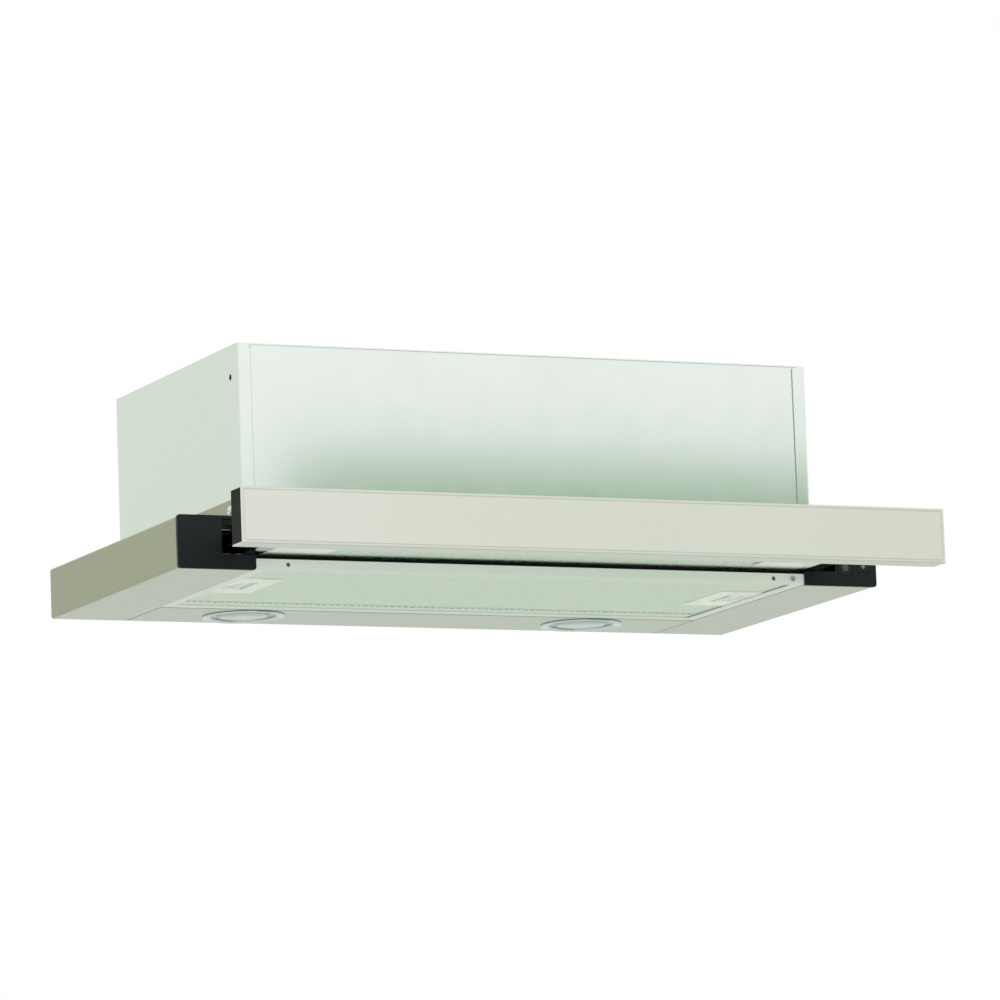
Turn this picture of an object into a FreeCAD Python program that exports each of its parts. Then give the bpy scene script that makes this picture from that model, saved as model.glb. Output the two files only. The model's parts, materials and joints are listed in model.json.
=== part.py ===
"""Pull-out range hood: a slide-out fascia in a cabinet frame, with a centrifugal blower behind it.

Origin: middle of the rear bottom edge, in the wall's plane.  +X right, -Y front, +Z up.  Sizes in mm.
"""
import FreeCAD, Part
import math
import operator
import os
import types

import Sketcher
from FreeCAD import Placement, Rotation, Vector

# ---------------------------------------------------------------- driving sizes

SIZES = {
    # cabinet frame
    "overall_width": 600,
    "frame_depth": 280,
    "rail_height": 40.5,
    "rail_foot": 64,
    "upstand": 17,
    "sheet": 1,
    "bend": 2,
    "seam": 0.3,
    # end caps at the front of the rails
    "cap_plate": 3,
    "cap_proud": 1,
    "cap_plug": 10,
    "cap_wall": 2,
    "cap_round": 2.5,
    "cap_fit": 0.3,
    "pocket_width": 28,
    "pocket_floor": 11.3,
    "pocket_height": 27.5,
    # casing
    "casing_inset": 54.5,
    "casing_back_gap": 15,
    "casing_top": 178,
    "flange": 11,
    "corner": 4,
    "bore": 2.5,
    "bore_inset": 15,
    "bore_drop": 25,
    "rail_screw_inset": 20,
    # filter carrier and its front bar
    "bar_height": 8.8,
    "bar_bottom": 0.3,
    "carrier_strip": 9,
    "carrier_rear": 75,
    "carrier_front_strip": 3.5,
    "bar_hole": 1.7,
    "bar_hole_inset": 27,
    "bar_screw_inset": 10.4,
    # lamp panel and lamps
    "lamp_inset": 86,
    "lamp_y": 40,
    "lamp_radius": 33.5,
    "lamp_lip": 1.5,
    "lamp_hole": 28,
    "lamp_height": 26,
    "glass_radius": 26.4,
    "glass": 2,
    "lamp_panel_back": 36,
    "lamp_panel_front": 9,
    "lamp_panel_seam": 0.8,
    # grease filters
    "filter_gap": 0.5,
    "filter_recess": 1.4,
    "filter_height": 8,
    "filter_border": 2,
    "filter_rear_border": 18,
    "mesh_height": 6,
    "mesh_lift": 0.4,
    "slot_count": 76,
    "slot_width": 4.2,
    "slot_depth": 4,
    "slot_from_edge": 12,
    # filter latches
    "latch_width": 36.5,
    "latch_length": 74,
    "latch_from_front": 51,
    "latch_proud": 0.5,
    "latch_height": 7,
    "slider_width": 16,
    "slider_length": 36,
    "slider_travel": 6,
    "slider_fit": 0.3,
    "latch_wall": 1,
    "tongue_width": 16,
    "tongue_height": 2,
    # drawer at its photographed position
    "drawer_out": 103,
    "closing_gap": 1,
    "fascia_inset": 2.5,
    "fascia_height": 43.3,
    "fascia_depth": 20,
    "fascia_bottom": 0.5,
    "fascia_cap": 1.5,
    "fascia_line": 1.9,
    "fascia_line_width": 0.7,
    "fascia_line_depth": 0.25,
    "drawer_depth": 195,
    "drawer_ledge": 14,
    "drawer_height": 21,
    "visor_height": 7,
    "visor_border": 6,
    "visor_latch_width": 50,
    "visor_latch_length": 60,
    "visor_latch_height": 1.2,
    # telescopic slides
    "bracket_inset": 41,
    "bracket_foot": 6,
    "slide_bottom": 14,
    "slide_height": 20,
    "slide_wall": 1.2,
    "slide_thickness": 11.6,
    "slide_back_gap": 16,
    "slide_setback": 18,
    "slide_inner_length": 250,
    "slide_stop": 4,
    "slide_tip_gap": 0.6,
    "ball": 1.4,
    "ball_clearance": 0.3,
    "ball_pitch": 22,
    "cage_length": 85,
    "cage_sheet": 0.7,
    # blower
    "blower_y": 140,
    "blower_z": 109,
    "scroll_start": 54,
    "scroll_end": 66,
    "scroll_width": 124,
    "scroll_wall": 1.5,
    "scroll_tongue": 60,
    "scroll_arc_count": 5,
    "inlet": 44,
    "wheel_radius": 50,
    "wheel_inner": 41,
    "wheel_width": 116,
    "wheel_ring": 3,
    "wheel_plate": 2,
    "blade": 1,
    "blade_bow": 1.5,
    "blade_lean": 8.5,
    "blade_count": 24,
    "hub": 10,
    "hub_width": 16,
    "shaft": 4,
    "shaft_fit": 0.1,
    "motor_radius": 30,
    "motor_length": 52,
    "motor_wall": 3,
    "spider": 3,
    # outlet
    "outlet_y": 95,
    "outlet_radius": 60,
    "outlet_wall": 2,
    "outlet_height": 18,
    "outlet_flange": 74,
    "flap": 1.2,
    "flap_gap": 1,
    "pin": 1.5,
    "pin_fit": 0.1,
    "knuckle": 3,
    "knuckle_width": 12,
    # controls
    "button_inset": 27,
    "button_width": 12,
    "button_bottom": 9,
    "button_height": 20.6,
    "slot_inset": 11,
    "slot_bottom": 11.5,
    "knob_width": 9.4,
    "knob_height": 10,
    "knob_travel": 11,
    "control_fit": 0.4,
    "control_depth": 16,
    "switch_depth": 14,
    "press": 1.5,
    # electrics
    "gland_inset": 55.5,
    "gland_y": 45,
    "gland": 8,
    "gland_bore": 4.5,
    "box_width": 90,
    "box_height": 60,
    "box_depth": 36,
    # fasteners
    "screw": 1.9,
    "screw_head": 3.3,
    "head_height": 1.2,
    "screw_length": 7,
    "screw_clearance": 0.2,
    "washer": 4,
    "washer_thickness": 0.6,
}

SIDES = {"left": -1, "right": 1}
FULL_TURN = 360


# ---------------------------------------------------------------- sizes that know their formula


class Size:
    """A length together with the sheet formula that gives it."""

    def __init__(self, value, text):
        self.value = value
        self.text = text

    def __float__(self):
        return float(self.value)

    def __add__(self, other):
        return joined(self, "+", other)

    def __radd__(self, other):
        return joined(other, "+", self)

    def __sub__(self, other):
        return joined(self, "-", other)

    def __rsub__(self, other):
        return joined(other, "-", self)

    def __mul__(self, other):
        return joined(self, "*", other)

    def __rmul__(self, other):
        return joined(other, "*", self)

    def __truediv__(self, other):
        return joined(self, "/", other)

    def __neg__(self):
        return joined(0, "-", self)


OPERATIONS = {"+": operator.add, "-": operator.sub, "*": operator.mul, "/": operator.truediv}


def as_size(number):
    """Read a plain number as a size."""
    return number if isinstance(number, Size) else Size(number, repr(number))


def joined(left, sign, right):
    """Join two sizes by an operation, in value and in formula."""
    left = as_size(left)
    right = as_size(right)
    return Size(OPERATIONS[sign](left.value, right.value), f"({left.text} {sign} {right.text})")


def bind(item, name, amount):
    """Bind a property or a constraint to the sheet."""
    item.setExpression(name, as_size(amount).text)


doc = FreeCAD.newDocument("PullOutHood")
sheet = doc.addObject("Spreadsheet::Sheet", "Sizes")
for row, (name, number) in enumerate(SIZES.items(), start=1):
    sheet.set(f"A{row}", name)
    sheet.set(f"B{row}", str(number))
    sheet.setAlias(f"B{row}", name)
doc.recompute()
size = types.SimpleNamespace(**{name: Size(sheet.get(name), "Sizes." + name) for name in SIZES})

PIECES = []


def keep(piece):
    """Count a finished object as one piece of the hood."""
    PIECES.append(piece)
    return piece


# ---------------------------------------------------------------- drawing and cutting


def new_body(label):
    """Start a solid body that is one piece."""
    return keep(doc.addObject("PartDesign::Body", label))


def new_sketch(body, plane, offset=0):
    """Add a sketch on one of the body's own planes, moved along that plane's normal."""
    sketch = body.newObject("Sketcher::SketchObject", body.Name + "_sketch")
    support = [feature for feature in body.Origin.OriginFeatures if feature.Role == plane]
    sketch.AttachmentSupport = [(support[0], "")]
    sketch.MapMode = "FlatFace"
    bind(sketch, "AttachmentOffset.Base.z", offset)
    return sketch


def pin_point(sketch, geometry, end, across, up):
    """Hold a point of the sketch at its place from the origin."""
    for kind, amount in (("DistanceX", across), ("DistanceY", up)):
        number = sketch.addConstraint(Sketcher.Constraint(kind, -1, 1, geometry, end, float(amount)))
        bind(sketch, f"Constraints[{number}]", amount)


def draw_outline(sketch, corners):
    """Draw a closed outline through corners that are bound to the sheet."""
    first = sketch.GeometryCount
    points = [Vector(float(across), float(up), 0) for across, up in corners]
    count = len(points)
    lines = [Part.LineSegment(points[number], points[(number + 1) % count]) for number in range(count)]
    sketch.addGeometry(lines, False)
    meets = [
        Sketcher.Constraint("Coincident", first + number, 2, first + (number + 1) % count, 1)
        for number in range(count)
    ]
    sketch.addConstraint(meets)
    for number, (across, up) in enumerate(corners):
        pin_point(sketch, first + number, 1, across, up)


def draw_rectangle(sketch, low, high):
    """Draw a rectangle between two corners."""
    draw_outline(sketch, [low, (high[0], low[1]), high, (low[0], high[1])])


def draw_circle(sketch, centre, radius):
    """Draw a circle whose centre and radius are bound to the sheet."""
    middle = Vector(float(centre[0]), float(centre[1]), 0)
    geometry = sketch.addGeometry(Part.Circle(middle, Vector(0, 0, 1), float(radius)), False)
    number = sketch.addConstraint(Sketcher.Constraint("Radius", geometry, float(radius)))
    bind(sketch, f"Constraints[{number}]", radius)
    pin_point(sketch, geometry, 3, *centre)


def add_pad(body, sketch, length):
    """Raise a sketch along its plane's normal."""
    pad = body.newObject("PartDesign::Pad", body.Name + "_pad")
    pad.Profile = sketch
    bind(pad, "Length", length)
    doc.recompute()
    return pad


def cut_pocket(body, sketch, depth=None):
    """Cut a sketch into the body: to a depth against the plane's normal, or right through both ways."""
    before = body.Shape.Volume
    pocket = body.newObject("PartDesign::Pocket", body.Name + "_pocket")
    pocket.Profile = sketch
    if depth is None:
        pocket.Type = "ThroughAll"
        pocket.SideType = "Symmetric"
    else:
        bind(pocket, "Length", depth)
    doc.recompute()
    if body.Shape.Volume > before - 1e-6:
        raise RuntimeError(body.Name + ": a pocket cuts nothing")
    return pocket


def turn(body, corners, full_turn=FULL_TURN):
    """Turn an outline of radii and heights about the body's own Z axis."""
    sketch = new_sketch(body, "XZ_Plane")
    draw_outline(sketch, corners)
    revolution = body.newObject("PartDesign::Revolution", body.Name + "_turned")
    revolution.Profile = sketch
    revolution.ReferenceAxis = (sketch, ["V_Axis"])
    revolution.Angle = full_turn
    doc.recompute()
    return revolution


def place(piece, *place_of):
    """Put an object at its place in the hood."""
    for axis, amount in zip("xyz", place_of):
        bind(piece, "Placement.Base." + axis, amount)


def round_edges(body, radius, wanted, kind="Fillet"):
    """Round the edges that the test picks, or chamfer them."""
    doc.recompute()
    base = body.Tip
    names = [f"Edge{number}" for number, edge in enumerate(base.Shape.Edges, start=1) if wanted(edge)]
    if not names:
        raise RuntimeError(body.Name + ": no edge to round")
    softened = body.newObject("PartDesign::" + kind, body.Name + "_soft_edge")
    softened.Base = (base, names)
    bind(softened, "Radius" if kind == "Fillet" else "Size", radius)
    doc.recompute()
    return softened


NEAR = 1e-4


def along(edge, axis, **at):
    """Tell whether an edge runs along an axis and passes the given coordinates."""
    first = edge.Vertexes[0].Point
    last = edge.Vertexes[-1].Point
    if abs(getattr(last - first, axis)) < NEAR:
        return False
    return all(
        abs(getattr(point, name) - float(amount)) < NEAR
        for point in (first, last)
        for name, amount in at.items()
    )


def sign(number):
    """Give the direction of a number as -1, 0 or 1."""
    return (number > NEAR) - (number < -NEAR)


def folded(path, thickness, left=1):
    """Give a square-bent path its sheet thickness: on its left side, or on its right for left=-1."""
    normals = []
    for start, end in zip(path, path[1:]):
        run = sign(float(end[0]) - float(start[0]))
        rise = sign(float(end[1]) - float(start[1]))
        normals.append((-left * rise, left * run))
    inner = []
    for number, corner in enumerate(path):
        before = normals[max(number - 1, 0)]
        after = normals[min(number, len(normals) - 1)]
        turns = [before] if before == after else [before, after]
        across = sum(normal[0] for normal in turns)
        up = sum(normal[1] for normal in turns)
        inner.append((corner[0] + across * thickness, corner[1] + up * thickness))
    return list(path) + inner[::-1]


def extrude_x(label, corners, low, high):
    """Make a piece from an outline in Y and Z, between two X places."""
    body = new_body(label)
    sketch = new_sketch(body, "YZ_Plane", low)
    draw_outline(sketch, corners)
    add_pad(body, sketch, high - low)
    return body


def extrude_y(label, corners, back, front):
    """Make a piece from an outline in X and Z, from a back place to one further forward."""
    body = new_body(label)
    sketch = new_sketch(body, "XZ_Plane", 0 - back)
    draw_outline(sketch, corners)
    add_pad(body, sketch, back - front)
    return body


def extrude_z(label, corners, low, high):
    """Make a piece from an outline in X and Y, between two heights."""
    body = new_body(label)
    sketch = new_sketch(body, "XY_Plane", low)
    draw_outline(sketch, corners)
    add_pad(body, sketch, high - low)
    return body


def box_corners(low, high):
    """List the four corners of a rectangle."""
    return [low, (high[0], low[1]), high, (low[0], high[1])]


def add_block(body, low, high):
    """Add a rectangular block to a body, between two corners."""
    sketch = new_sketch(body, "XY_Plane", low[2])
    draw_rectangle(sketch, low[:2], high[:2])
    add_pad(body, sketch, high[2] - low[2])


def cut_block(body, low, high):
    """Cut a rectangular room out of a body, between two corners."""
    sketch = new_sketch(body, "XY_Plane", high[2])
    draw_rectangle(sketch, low[:2], high[:2])
    cut_pocket(body, sketch, high[2] - low[2])


def mirrored_pair(side, near, far):
    """Order two distances from the middle plane as low and high X on one side."""
    return (side * near, side * far) if side > 0 else (side * far, side * near)


# ---------------------------------------------------------------- places that several pieces share

half_width = size.overall_width / 2
rail_inner = half_width - size.rail_foot
frame_front = 0 - size.frame_depth
cap_back = frame_front + size.sheet + size.sheet
cap_face = cap_back - size.cap_plate
half_casing = half_width - size.casing_inset
casing_front = cap_back
casing_back = 0 - size.casing_back_gap
casing_bottom = size.rail_height - size.sheet
casing_roof = size.casing_top - size.sheet
upstand_top = size.rail_height + size.upstand
rail_screw_z = size.rail_height + size.upstand / 2
rail_screw_places = [
    cap_back + size.rail_screw_inset,
    casing_front / 2,
    casing_back - size.rail_screw_inset,
]
button_x = half_width - size.button_inset
slot_x = half_width - size.slot_inset
knob_z = size.slot_bottom + size.knob_height / 2
gland_x = half_casing - size.gland_inset
lamp_x = rail_inner - size.lamp_inset


# ---------------------------------------------------------------- cabinet frame


def make_rail(name, side):
    """Bend one side rail: foot, outer wall, top and the upstand that takes the casing."""
    path = [
        (side * rail_inner, as_size(0)),
        (side * half_width, as_size(0)),
        (side * half_width, size.rail_height),
        (side * (half_casing + size.sheet), size.rail_height),
        (side * (half_casing + size.sheet), upstand_top),
    ]
    rail = extrude_y("rail_" + name, folded(path, size.sheet, side), as_size(0), cap_back)
    outer = [path[1], path[2]]
    round_edges(rail, size.bend, lambda edge: any(along(edge, "y", x=x, z=z) for x, z in outer))
    inner = [(x - side * size.sheet, z) for x, z in ((path[1][0], size.sheet), (path[2][0], casing_bottom))]
    round_edges(
        rail, size.bend - size.sheet, lambda edge: any(along(edge, "y", x=x, z=z) for x, z in inner)
    )
    holes = new_sketch(rail, "YZ_Plane", side * half_casing + side * size.sheet / 2)
    for place_y in rail_screw_places:
        draw_circle(holes, (place_y, rail_screw_z), size.screw + size.screw_clearance)
    cut_pocket(rail, holes)
    return rail


for name, side in SIDES.items():
    make_rail(name, side)


def make_end_cap(name, side):
    """Mould the black cap that closes a rail's front end around the drawer's slide."""
    low_x, high_x = rail_inner, half_width + size.cap_proud / 2
    low_z, high_z = 0 - size.bar_bottom, size.rail_height + size.cap_proud
    pocket_x = rail_inner + size.pocket_width
    pocket_top = size.pocket_floor + size.pocket_height
    face = [
        (side * low_x, low_z),
        (side * high_x, low_z),
        (side * high_x, high_z),
        (side * low_x, high_z),
        (side * low_x, pocket_top),
        (side * pocket_x, pocket_top),
        (side * pocket_x, size.pocket_floor),
        (side * low_x, size.pocket_floor),
    ]
    cap = extrude_y("end_cap_" + name, face, cap_back, cap_face)
    corners = [(side * x, z) for x in (low_x, high_x) for z in (low_z, high_z)]
    round_edges(cap, size.cap_round, lambda edge: any(along(edge, "y", x=x, z=z) for x, z in corners))
    outside = size.sheet + size.cap_fit
    pocket_corners = [(side * pocket_x, z) for z in (size.pocket_floor, pocket_top)]
    round_edges(
        cap,
        size.cap_round / 2,
        lambda edge: any(along(edge, "y", x=x, z=z) for x, z in pocket_corners),
    )
    plug_low = (side * pocket_x, outside)
    plug_high = (side * (half_width - outside), size.rail_height - outside)
    sketch = new_sketch(cap, "XZ_Plane", 0 - (cap_back + size.cap_plug))
    draw_rectangle(sketch, plug_low, plug_high)
    wall = side * size.cap_wall
    draw_rectangle(
        sketch,
        (plug_low[0] + wall, plug_low[1] + size.cap_wall),
        (plug_high[0] - wall, plug_high[1] - size.cap_wall),
    )
    add_pad(cap, sketch, size.cap_plug)
    if side > 0:
        controls = new_sketch(cap, "XZ_Plane")
        half_button = size.button_width / 2 + size.control_fit
        draw_rectangle(
            controls,
            (button_x - half_button, size.button_bottom - size.control_fit),
            (button_x + half_button, size.button_bottom + size.button_height + size.control_fit),
        )
        half_knob = size.knob_width / 2 + size.control_fit
        slot_top = size.slot_bottom + size.knob_height + size.knob_travel + size.control_fit
        draw_rectangle(
            controls,
            (slot_x - half_knob, size.slot_bottom - size.control_fit),
            (slot_x + half_knob, slot_top),
        )
        cut_pocket(cap, controls)
    return cap


for name, side in SIDES.items():
    make_end_cap(name, side)


# ---------------------------------------------------------------- casing


def make_casing_side(name, side):
    """Bend one casing side with its front and rear flanges, and pierce it for screws."""
    path = [
        (side * (half_casing - size.flange), casing_front),
        (side * half_casing, casing_front),
        (side * half_casing, casing_back),
        (side * (half_casing - size.flange), casing_back),
    ]
    panel = extrude_z("casing_side_" + name, folded(path, size.sheet, side), casing_bottom, casing_roof)
    inner_top = (side * (half_casing - size.flange), casing_roof)
    round_edges(panel, size.corner, lambda edge: along(edge, "y", x=inner_top[0], z=inner_top[1]))
    outer = [path[1], path[2]]
    round_edges(panel, size.bend, lambda edge: any(along(edge, "z", x=x, y=y) for x, y in outer))
    holes = new_sketch(panel, "YZ_Plane", side * half_casing)
    draw_circle(holes, (casing_front + size.bore_inset, size.casing_top - size.bore_drop), size.bore)
    for place_y in rail_screw_places:
        draw_circle(holes, (place_y, rail_screw_z), size.screw + size.screw_clearance)
    cut_pocket(panel, holes)
    return panel


for name, side in SIDES.items():
    make_casing_side(name, side)

inside_casing = half_casing - size.sheet
front_panel_face = casing_front + size.sheet
front_path = [
    (front_panel_face + size.flange, size.rail_height),
    (front_panel_face, size.rail_height),
    (front_panel_face, casing_roof),
    (front_panel_face + size.flange, casing_roof),
]
extrude_x("casing_front_panel", folded(front_path, size.sheet, -1), 0 - inside_casing, inside_casing)

back_panel_face = casing_back - size.sheet
back_path = [
    (back_panel_face - size.flange, size.rail_height),
    (back_panel_face, size.rail_height),
    (back_panel_face, casing_roof),
    (back_panel_face - size.flange, casing_roof),
]
extrude_x("casing_back_panel", folded(back_path, size.sheet, 1), 0 - inside_casing, inside_casing)
inner_back = back_panel_face - size.sheet


def make_top_panel():
    """Cut the top panel with its air outlet and cable hole."""
    corners = box_corners((0 - half_casing, casing_front), (half_casing, casing_back))
    panel = extrude_z("casing_top_panel", corners, casing_roof, size.casing_top)
    round_edges(panel, size.bend, lambda edge: along(edge, "z"))
    holes = new_sketch(panel, "XY_Plane", size.casing_top)
    outlet_hole = size.outlet_radius - size.outlet_wall
    draw_circle(holes, (as_size(0), 0 - size.outlet_y), outlet_hole)
    draw_circle(holes, (gland_x, 0 - size.gland_y), size.gland)
    cut_pocket(panel, holes)
    return panel


make_top_panel()


# ---------------------------------------------------------------- filter carrier and lamp panel


def make_carrier():
    """Bend the white frame that holds the big filter, with its pierced front bar."""
    floor_top = size.bar_bottom + size.sheet
    carrier = new_body("filter_carrier")
    outline = new_sketch(carrier, "XY_Plane", size.bar_bottom)
    draw_rectangle(outline, (0 - rail_inner, frame_front), (rail_inner, 0 - size.carrier_rear))
    add_pad(carrier, outline, size.bar_height - size.bar_bottom)
    round_edges(carrier, size.bend, lambda edge: along(edge, "x", y=frame_front, z=size.bar_bottom))
    room = new_sketch(carrier, "XY_Plane", size.bar_height)
    wall = size.sheet
    draw_rectangle(
        room,
        (0 - rail_inner + wall, frame_front + wall),
        (rail_inner - wall, 0 - size.carrier_rear - wall),
    )
    cut_pocket(carrier, room, size.bar_height - floor_top)
    window = new_sketch(carrier, "XY_Plane", floor_top)
    draw_rectangle(window, carrier_window[0], carrier_window[1])
    cut_pocket(carrier, window, size.sheet)
    holes = new_sketch(carrier, "XZ_Plane", size.frame_depth)
    for side in SIDES.values():
        draw_circle(holes, (side * (rail_inner - size.bar_hole_inset), bar_hole_z), size.bar_hole)
    draw_circle(holes, (bar_screw_x, bar_hole_z), size.screw + size.screw_clearance)
    cut_pocket(carrier, holes, size.sheet)
    return carrier


bar_hole_z = (size.bar_bottom + size.bar_height) / 2
bar_screw_x = rail_inner - size.bar_screw_inset
carrier_window = (
    (0 - rail_inner + size.carrier_strip, frame_front + size.carrier_front_strip),
    (rail_inner - size.carrier_strip, 0 - size.carrier_rear - size.carrier_strip),
)
make_carrier()


def make_lamp_panel():
    """Bend the rear panel that carries the two lamps and closes the back."""
    front = 0 - size.carrier_rear + size.seam
    path = [
        (front, size.lamp_panel_front),
        (front, as_size(0)),
        (as_size(0), as_size(0)),
        (as_size(0), size.lamp_panel_back),
        (0 - size.flange, size.lamp_panel_back),
    ]
    panel = extrude_x("lamp_panel", folded(path, size.sheet, 1), 0 - rail_inner, rail_inner)
    for side in SIDES.values():
        low_x, high_x = mirrored_pair(side, rail_inner - size.lamp_panel_seam, rail_inner)
        cut_block(panel, (low_x, front, as_size(0)), (high_x, 0 - size.sheet, size.sheet))
    holes = new_sketch(panel, "XY_Plane", size.sheet)
    for side in SIDES.values():
        draw_circle(holes, (side * lamp_x, 0 - size.lamp_y), size.lamp_hole)
    cut_pocket(panel, holes, size.sheet)
    return panel


make_lamp_panel()


def make_lamp(name, side):
    """Turn one downlight: bezel, lens and housing."""
    middle = (side * lamp_x, 0 - size.lamp_y, as_size(0))
    lens_seat = as_size(0)
    window = size.glass_radius - size.glass
    bezel = new_body("lamp_bezel_" + name)
    turn(
        bezel,
        [
            (window, 0 - size.lamp_lip),
            (size.lamp_radius - size.lamp_lip, 0 - size.lamp_lip),
            (size.lamp_radius, 0 - size.lamp_lip / 2),
            (size.lamp_radius, lens_seat),
            (window, lens_seat),
        ],
    )
    place(bezel, *middle)
    lens = new_body("lamp_lens_" + name)
    lens_top = lens_seat + size.glass
    turn(
        lens,
        [
            (as_size(0), lens_seat),
            (size.glass_radius, lens_seat),
            (size.glass_radius, lens_top),
            (as_size(0), lens_top),
        ],
    )
    place(lens, *middle)
    housing = new_body("lamp_housing_" + name)
    roof = lens_top + size.lamp_height
    turn(
        housing,
        [
            (as_size(0), lens_top),
            (size.glass_radius, lens_top),
            (size.glass_radius, roof),
            (as_size(0), roof),
        ],
    )
    place(housing, *middle)


for name, side in SIDES.items():
    make_lamp(name, side)


# ---------------------------------------------------------------- main grease filter

filter_x = rail_inner - size.carrier_strip - size.filter_gap
filter_front = carrier_window[0][1] + size.filter_gap
filter_rear = carrier_window[1][1] - size.filter_gap
filter_bottom = size.bar_bottom + size.filter_recess
filter_top = filter_bottom + size.filter_height
latch_top = filter_bottom + size.latch_height - size.latch_proud
latch_bottom = filter_bottom - size.latch_proud
latch_front = filter_front + size.latch_from_front
latch_rear = latch_front + size.latch_length
latch_inner = filter_x - size.latch_width


def cut_latch_rooms(body, bottom):
    """Cut the two rooms that the latch housings fill."""
    for side in SIDES.values():
        low_x, high_x = mirrored_pair(side, latch_inner, filter_x)
        cut_block(body, (low_x, latch_front, bottom), (high_x, latch_rear, latch_top))


def make_filter_frame():
    """Frame the big filter, with a row of slots along its rear border."""
    frame = new_body("filter_frame")
    border = new_sketch(frame, "XY_Plane", filter_bottom)
    draw_rectangle(border, (0 - filter_x, filter_front), (filter_x, filter_rear))
    draw_rectangle(border, *mesh_room)
    add_pad(frame, border, size.filter_height)
    cut_latch_rooms(frame, filter_bottom)
    slot_y = filter_rear - size.slot_from_edge
    row = (filter_x - size.filter_border) * 2
    pitch = row / size.slot_count
    slot = new_sketch(frame, "XY_Plane", filter_top)
    first = 0 - row / 2 + (pitch - size.slot_width) / 2
    draw_rectangle(slot, (first, slot_y - size.slot_depth), (first + size.slot_width, slot_y))
    pocket = cut_pocket(frame, slot, size.filter_height)
    pattern = frame.newObject("PartDesign::LinearPattern", "filter_frame_row")
    pattern.Originals = [pocket]
    pattern.Direction = (slot, ["H_Axis"])
    bind(pattern, "Length", pitch * (size.slot_count - 1))
    bind(pattern, "Occurrences", size.slot_count)
    frame.Tip = pattern
    doc.recompute()
    return frame


mesh_room = (
    (0 - filter_x + size.filter_border, filter_front + size.filter_border),
    (filter_x - size.filter_border, filter_rear - size.filter_rear_border),
)
make_filter_frame()


def make_filter_mesh():
    """Stack the expanded-metal layers as one flat pack inside the frame."""
    bottom = filter_bottom + size.mesh_lift
    mesh = extrude_z("filter_mesh", box_corners(*mesh_room), bottom, bottom + size.mesh_height)
    cut_latch_rooms(mesh, bottom)
    return mesh


make_filter_mesh()

slider_high = filter_x - size.latch_wall
slider_low = slider_high - size.slider_width
cavity_low = slider_low - size.slider_travel - size.slider_fit
cavity_front = (latch_front + latch_rear) / 2 - size.slider_length / 2
cavity_rear = cavity_front + size.slider_length
cavity_top = latch_top - size.latch_wall
tongue_z = latch_top - size.latch_wall - size.slider_fit - size.tongue_height


def make_latch_housing(name, side):
    """Mould one latch housing: a plate let into the filter, with room for its slider."""
    low_x, high_x = mirrored_pair(side, latch_inner, filter_x)
    housing = extrude_z(
        "latch_housing_" + name,
        box_corners((low_x, latch_front), (high_x, latch_rear)),
        latch_bottom,
        latch_top,
    )
    low_x, high_x = mirrored_pair(side, cavity_low, slider_high + size.slider_fit)
    cut_block(housing, (low_x, cavity_front, latch_bottom), (high_x, cavity_rear, cavity_top))
    low_x, high_x = mirrored_pair(side, slider_high, filter_x)
    middle = (latch_front + latch_rear) / 2
    half_tongue = size.tongue_width / 2 + size.slider_fit
    cut_block(
        housing,
        (low_x, middle - half_tongue, tongue_z - size.slider_fit),
        (high_x, middle + half_tongue, cavity_top),
    )
    return housing


def make_latch_slider(name, side):
    """Mould one latch slider: a finger cup with a tongue towards the carrier."""
    low_x, high_x = mirrored_pair(side, slider_low, slider_high)
    front = cavity_front + size.slider_fit
    rear = cavity_rear - size.slider_fit
    slider = extrude_z(
        "latch_slider_" + name,
        box_corners((low_x, front), (high_x, rear)),
        latch_bottom,
        cavity_top - size.slider_fit,
    )
    wall = size.latch_wall * 2
    cup_x = mirrored_pair(side, slider_low + wall, slider_high - wall)
    cup_top = cavity_top - size.slider_fit - size.latch_wall
    cut_block(
        slider, (cup_x[0], front + wall, latch_bottom), (cup_x[1], rear - wall, cup_top)
    )
    low_x, high_x = mirrored_pair(side, slider_high, filter_x)
    middle = (latch_front + latch_rear) / 2
    half_tongue = size.tongue_width / 2
    add_block(
        slider,
        (low_x, middle - half_tongue, tongue_z),
        (high_x, middle + half_tongue, tongue_z + size.tongue_height),
    )
    return slider


for name, side in SIDES.items():
    make_latch_housing(name, side)
    make_latch_slider(name, side)


# ---------------------------------------------------------------- drawer: fascia, sides and small filter

fascia_back = cap_face - size.closing_gap - size.drawer_out
fascia_front = fascia_back - size.fascia_depth
fascia_top = size.fascia_bottom + size.fascia_height
half_fascia = half_width - size.fascia_inset
fascia_inner = half_fascia - size.fascia_cap


def make_fascia():
    """Fold the fascia's front sheet and press the fine line round its face."""
    path = [
        (fascia_back, size.fascia_bottom),
        (fascia_front, size.fascia_bottom),
        (fascia_front, fascia_top),
        (fascia_back, fascia_top),
    ]
    fascia = extrude_x("fascia_panel", folded(path, size.sheet, -1), 0 - half_fascia, half_fascia)
    corners = [path[1], path[2]]
    round_edges(fascia, size.bend / 2, lambda edge: any(along(edge, "x", y=y, z=z) for y, z in corners))
    line = new_sketch(fascia, "XZ_Plane", 0 - fascia_front)
    edge = size.fascia_line
    draw_rectangle(
        line,
        (0 - half_fascia + edge, size.fascia_bottom + edge),
        (half_fascia - edge, fascia_top - edge),
    )
    edge = size.fascia_line + size.fascia_line_width
    draw_rectangle(
        line,
        (0 - half_fascia + edge, size.fascia_bottom + edge),
        (half_fascia - edge, fascia_top - edge),
    )
    cut_pocket(fascia, line, size.fascia_line_depth)
    return fascia


make_fascia()


def pierce_for_fascia_screws(body, plane_y):
    """Pierce a sheet for the screws that hold the drawer to its fascia."""
    holes = new_sketch(body, "XZ_Plane", 0 - plane_y)
    for side in SIDES.values():
        draw_circle(holes, (side * fascia_screw_x, fascia_screw_z), size.screw + size.screw_clearance)
    cut_pocket(body, holes, size.sheet)


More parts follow.
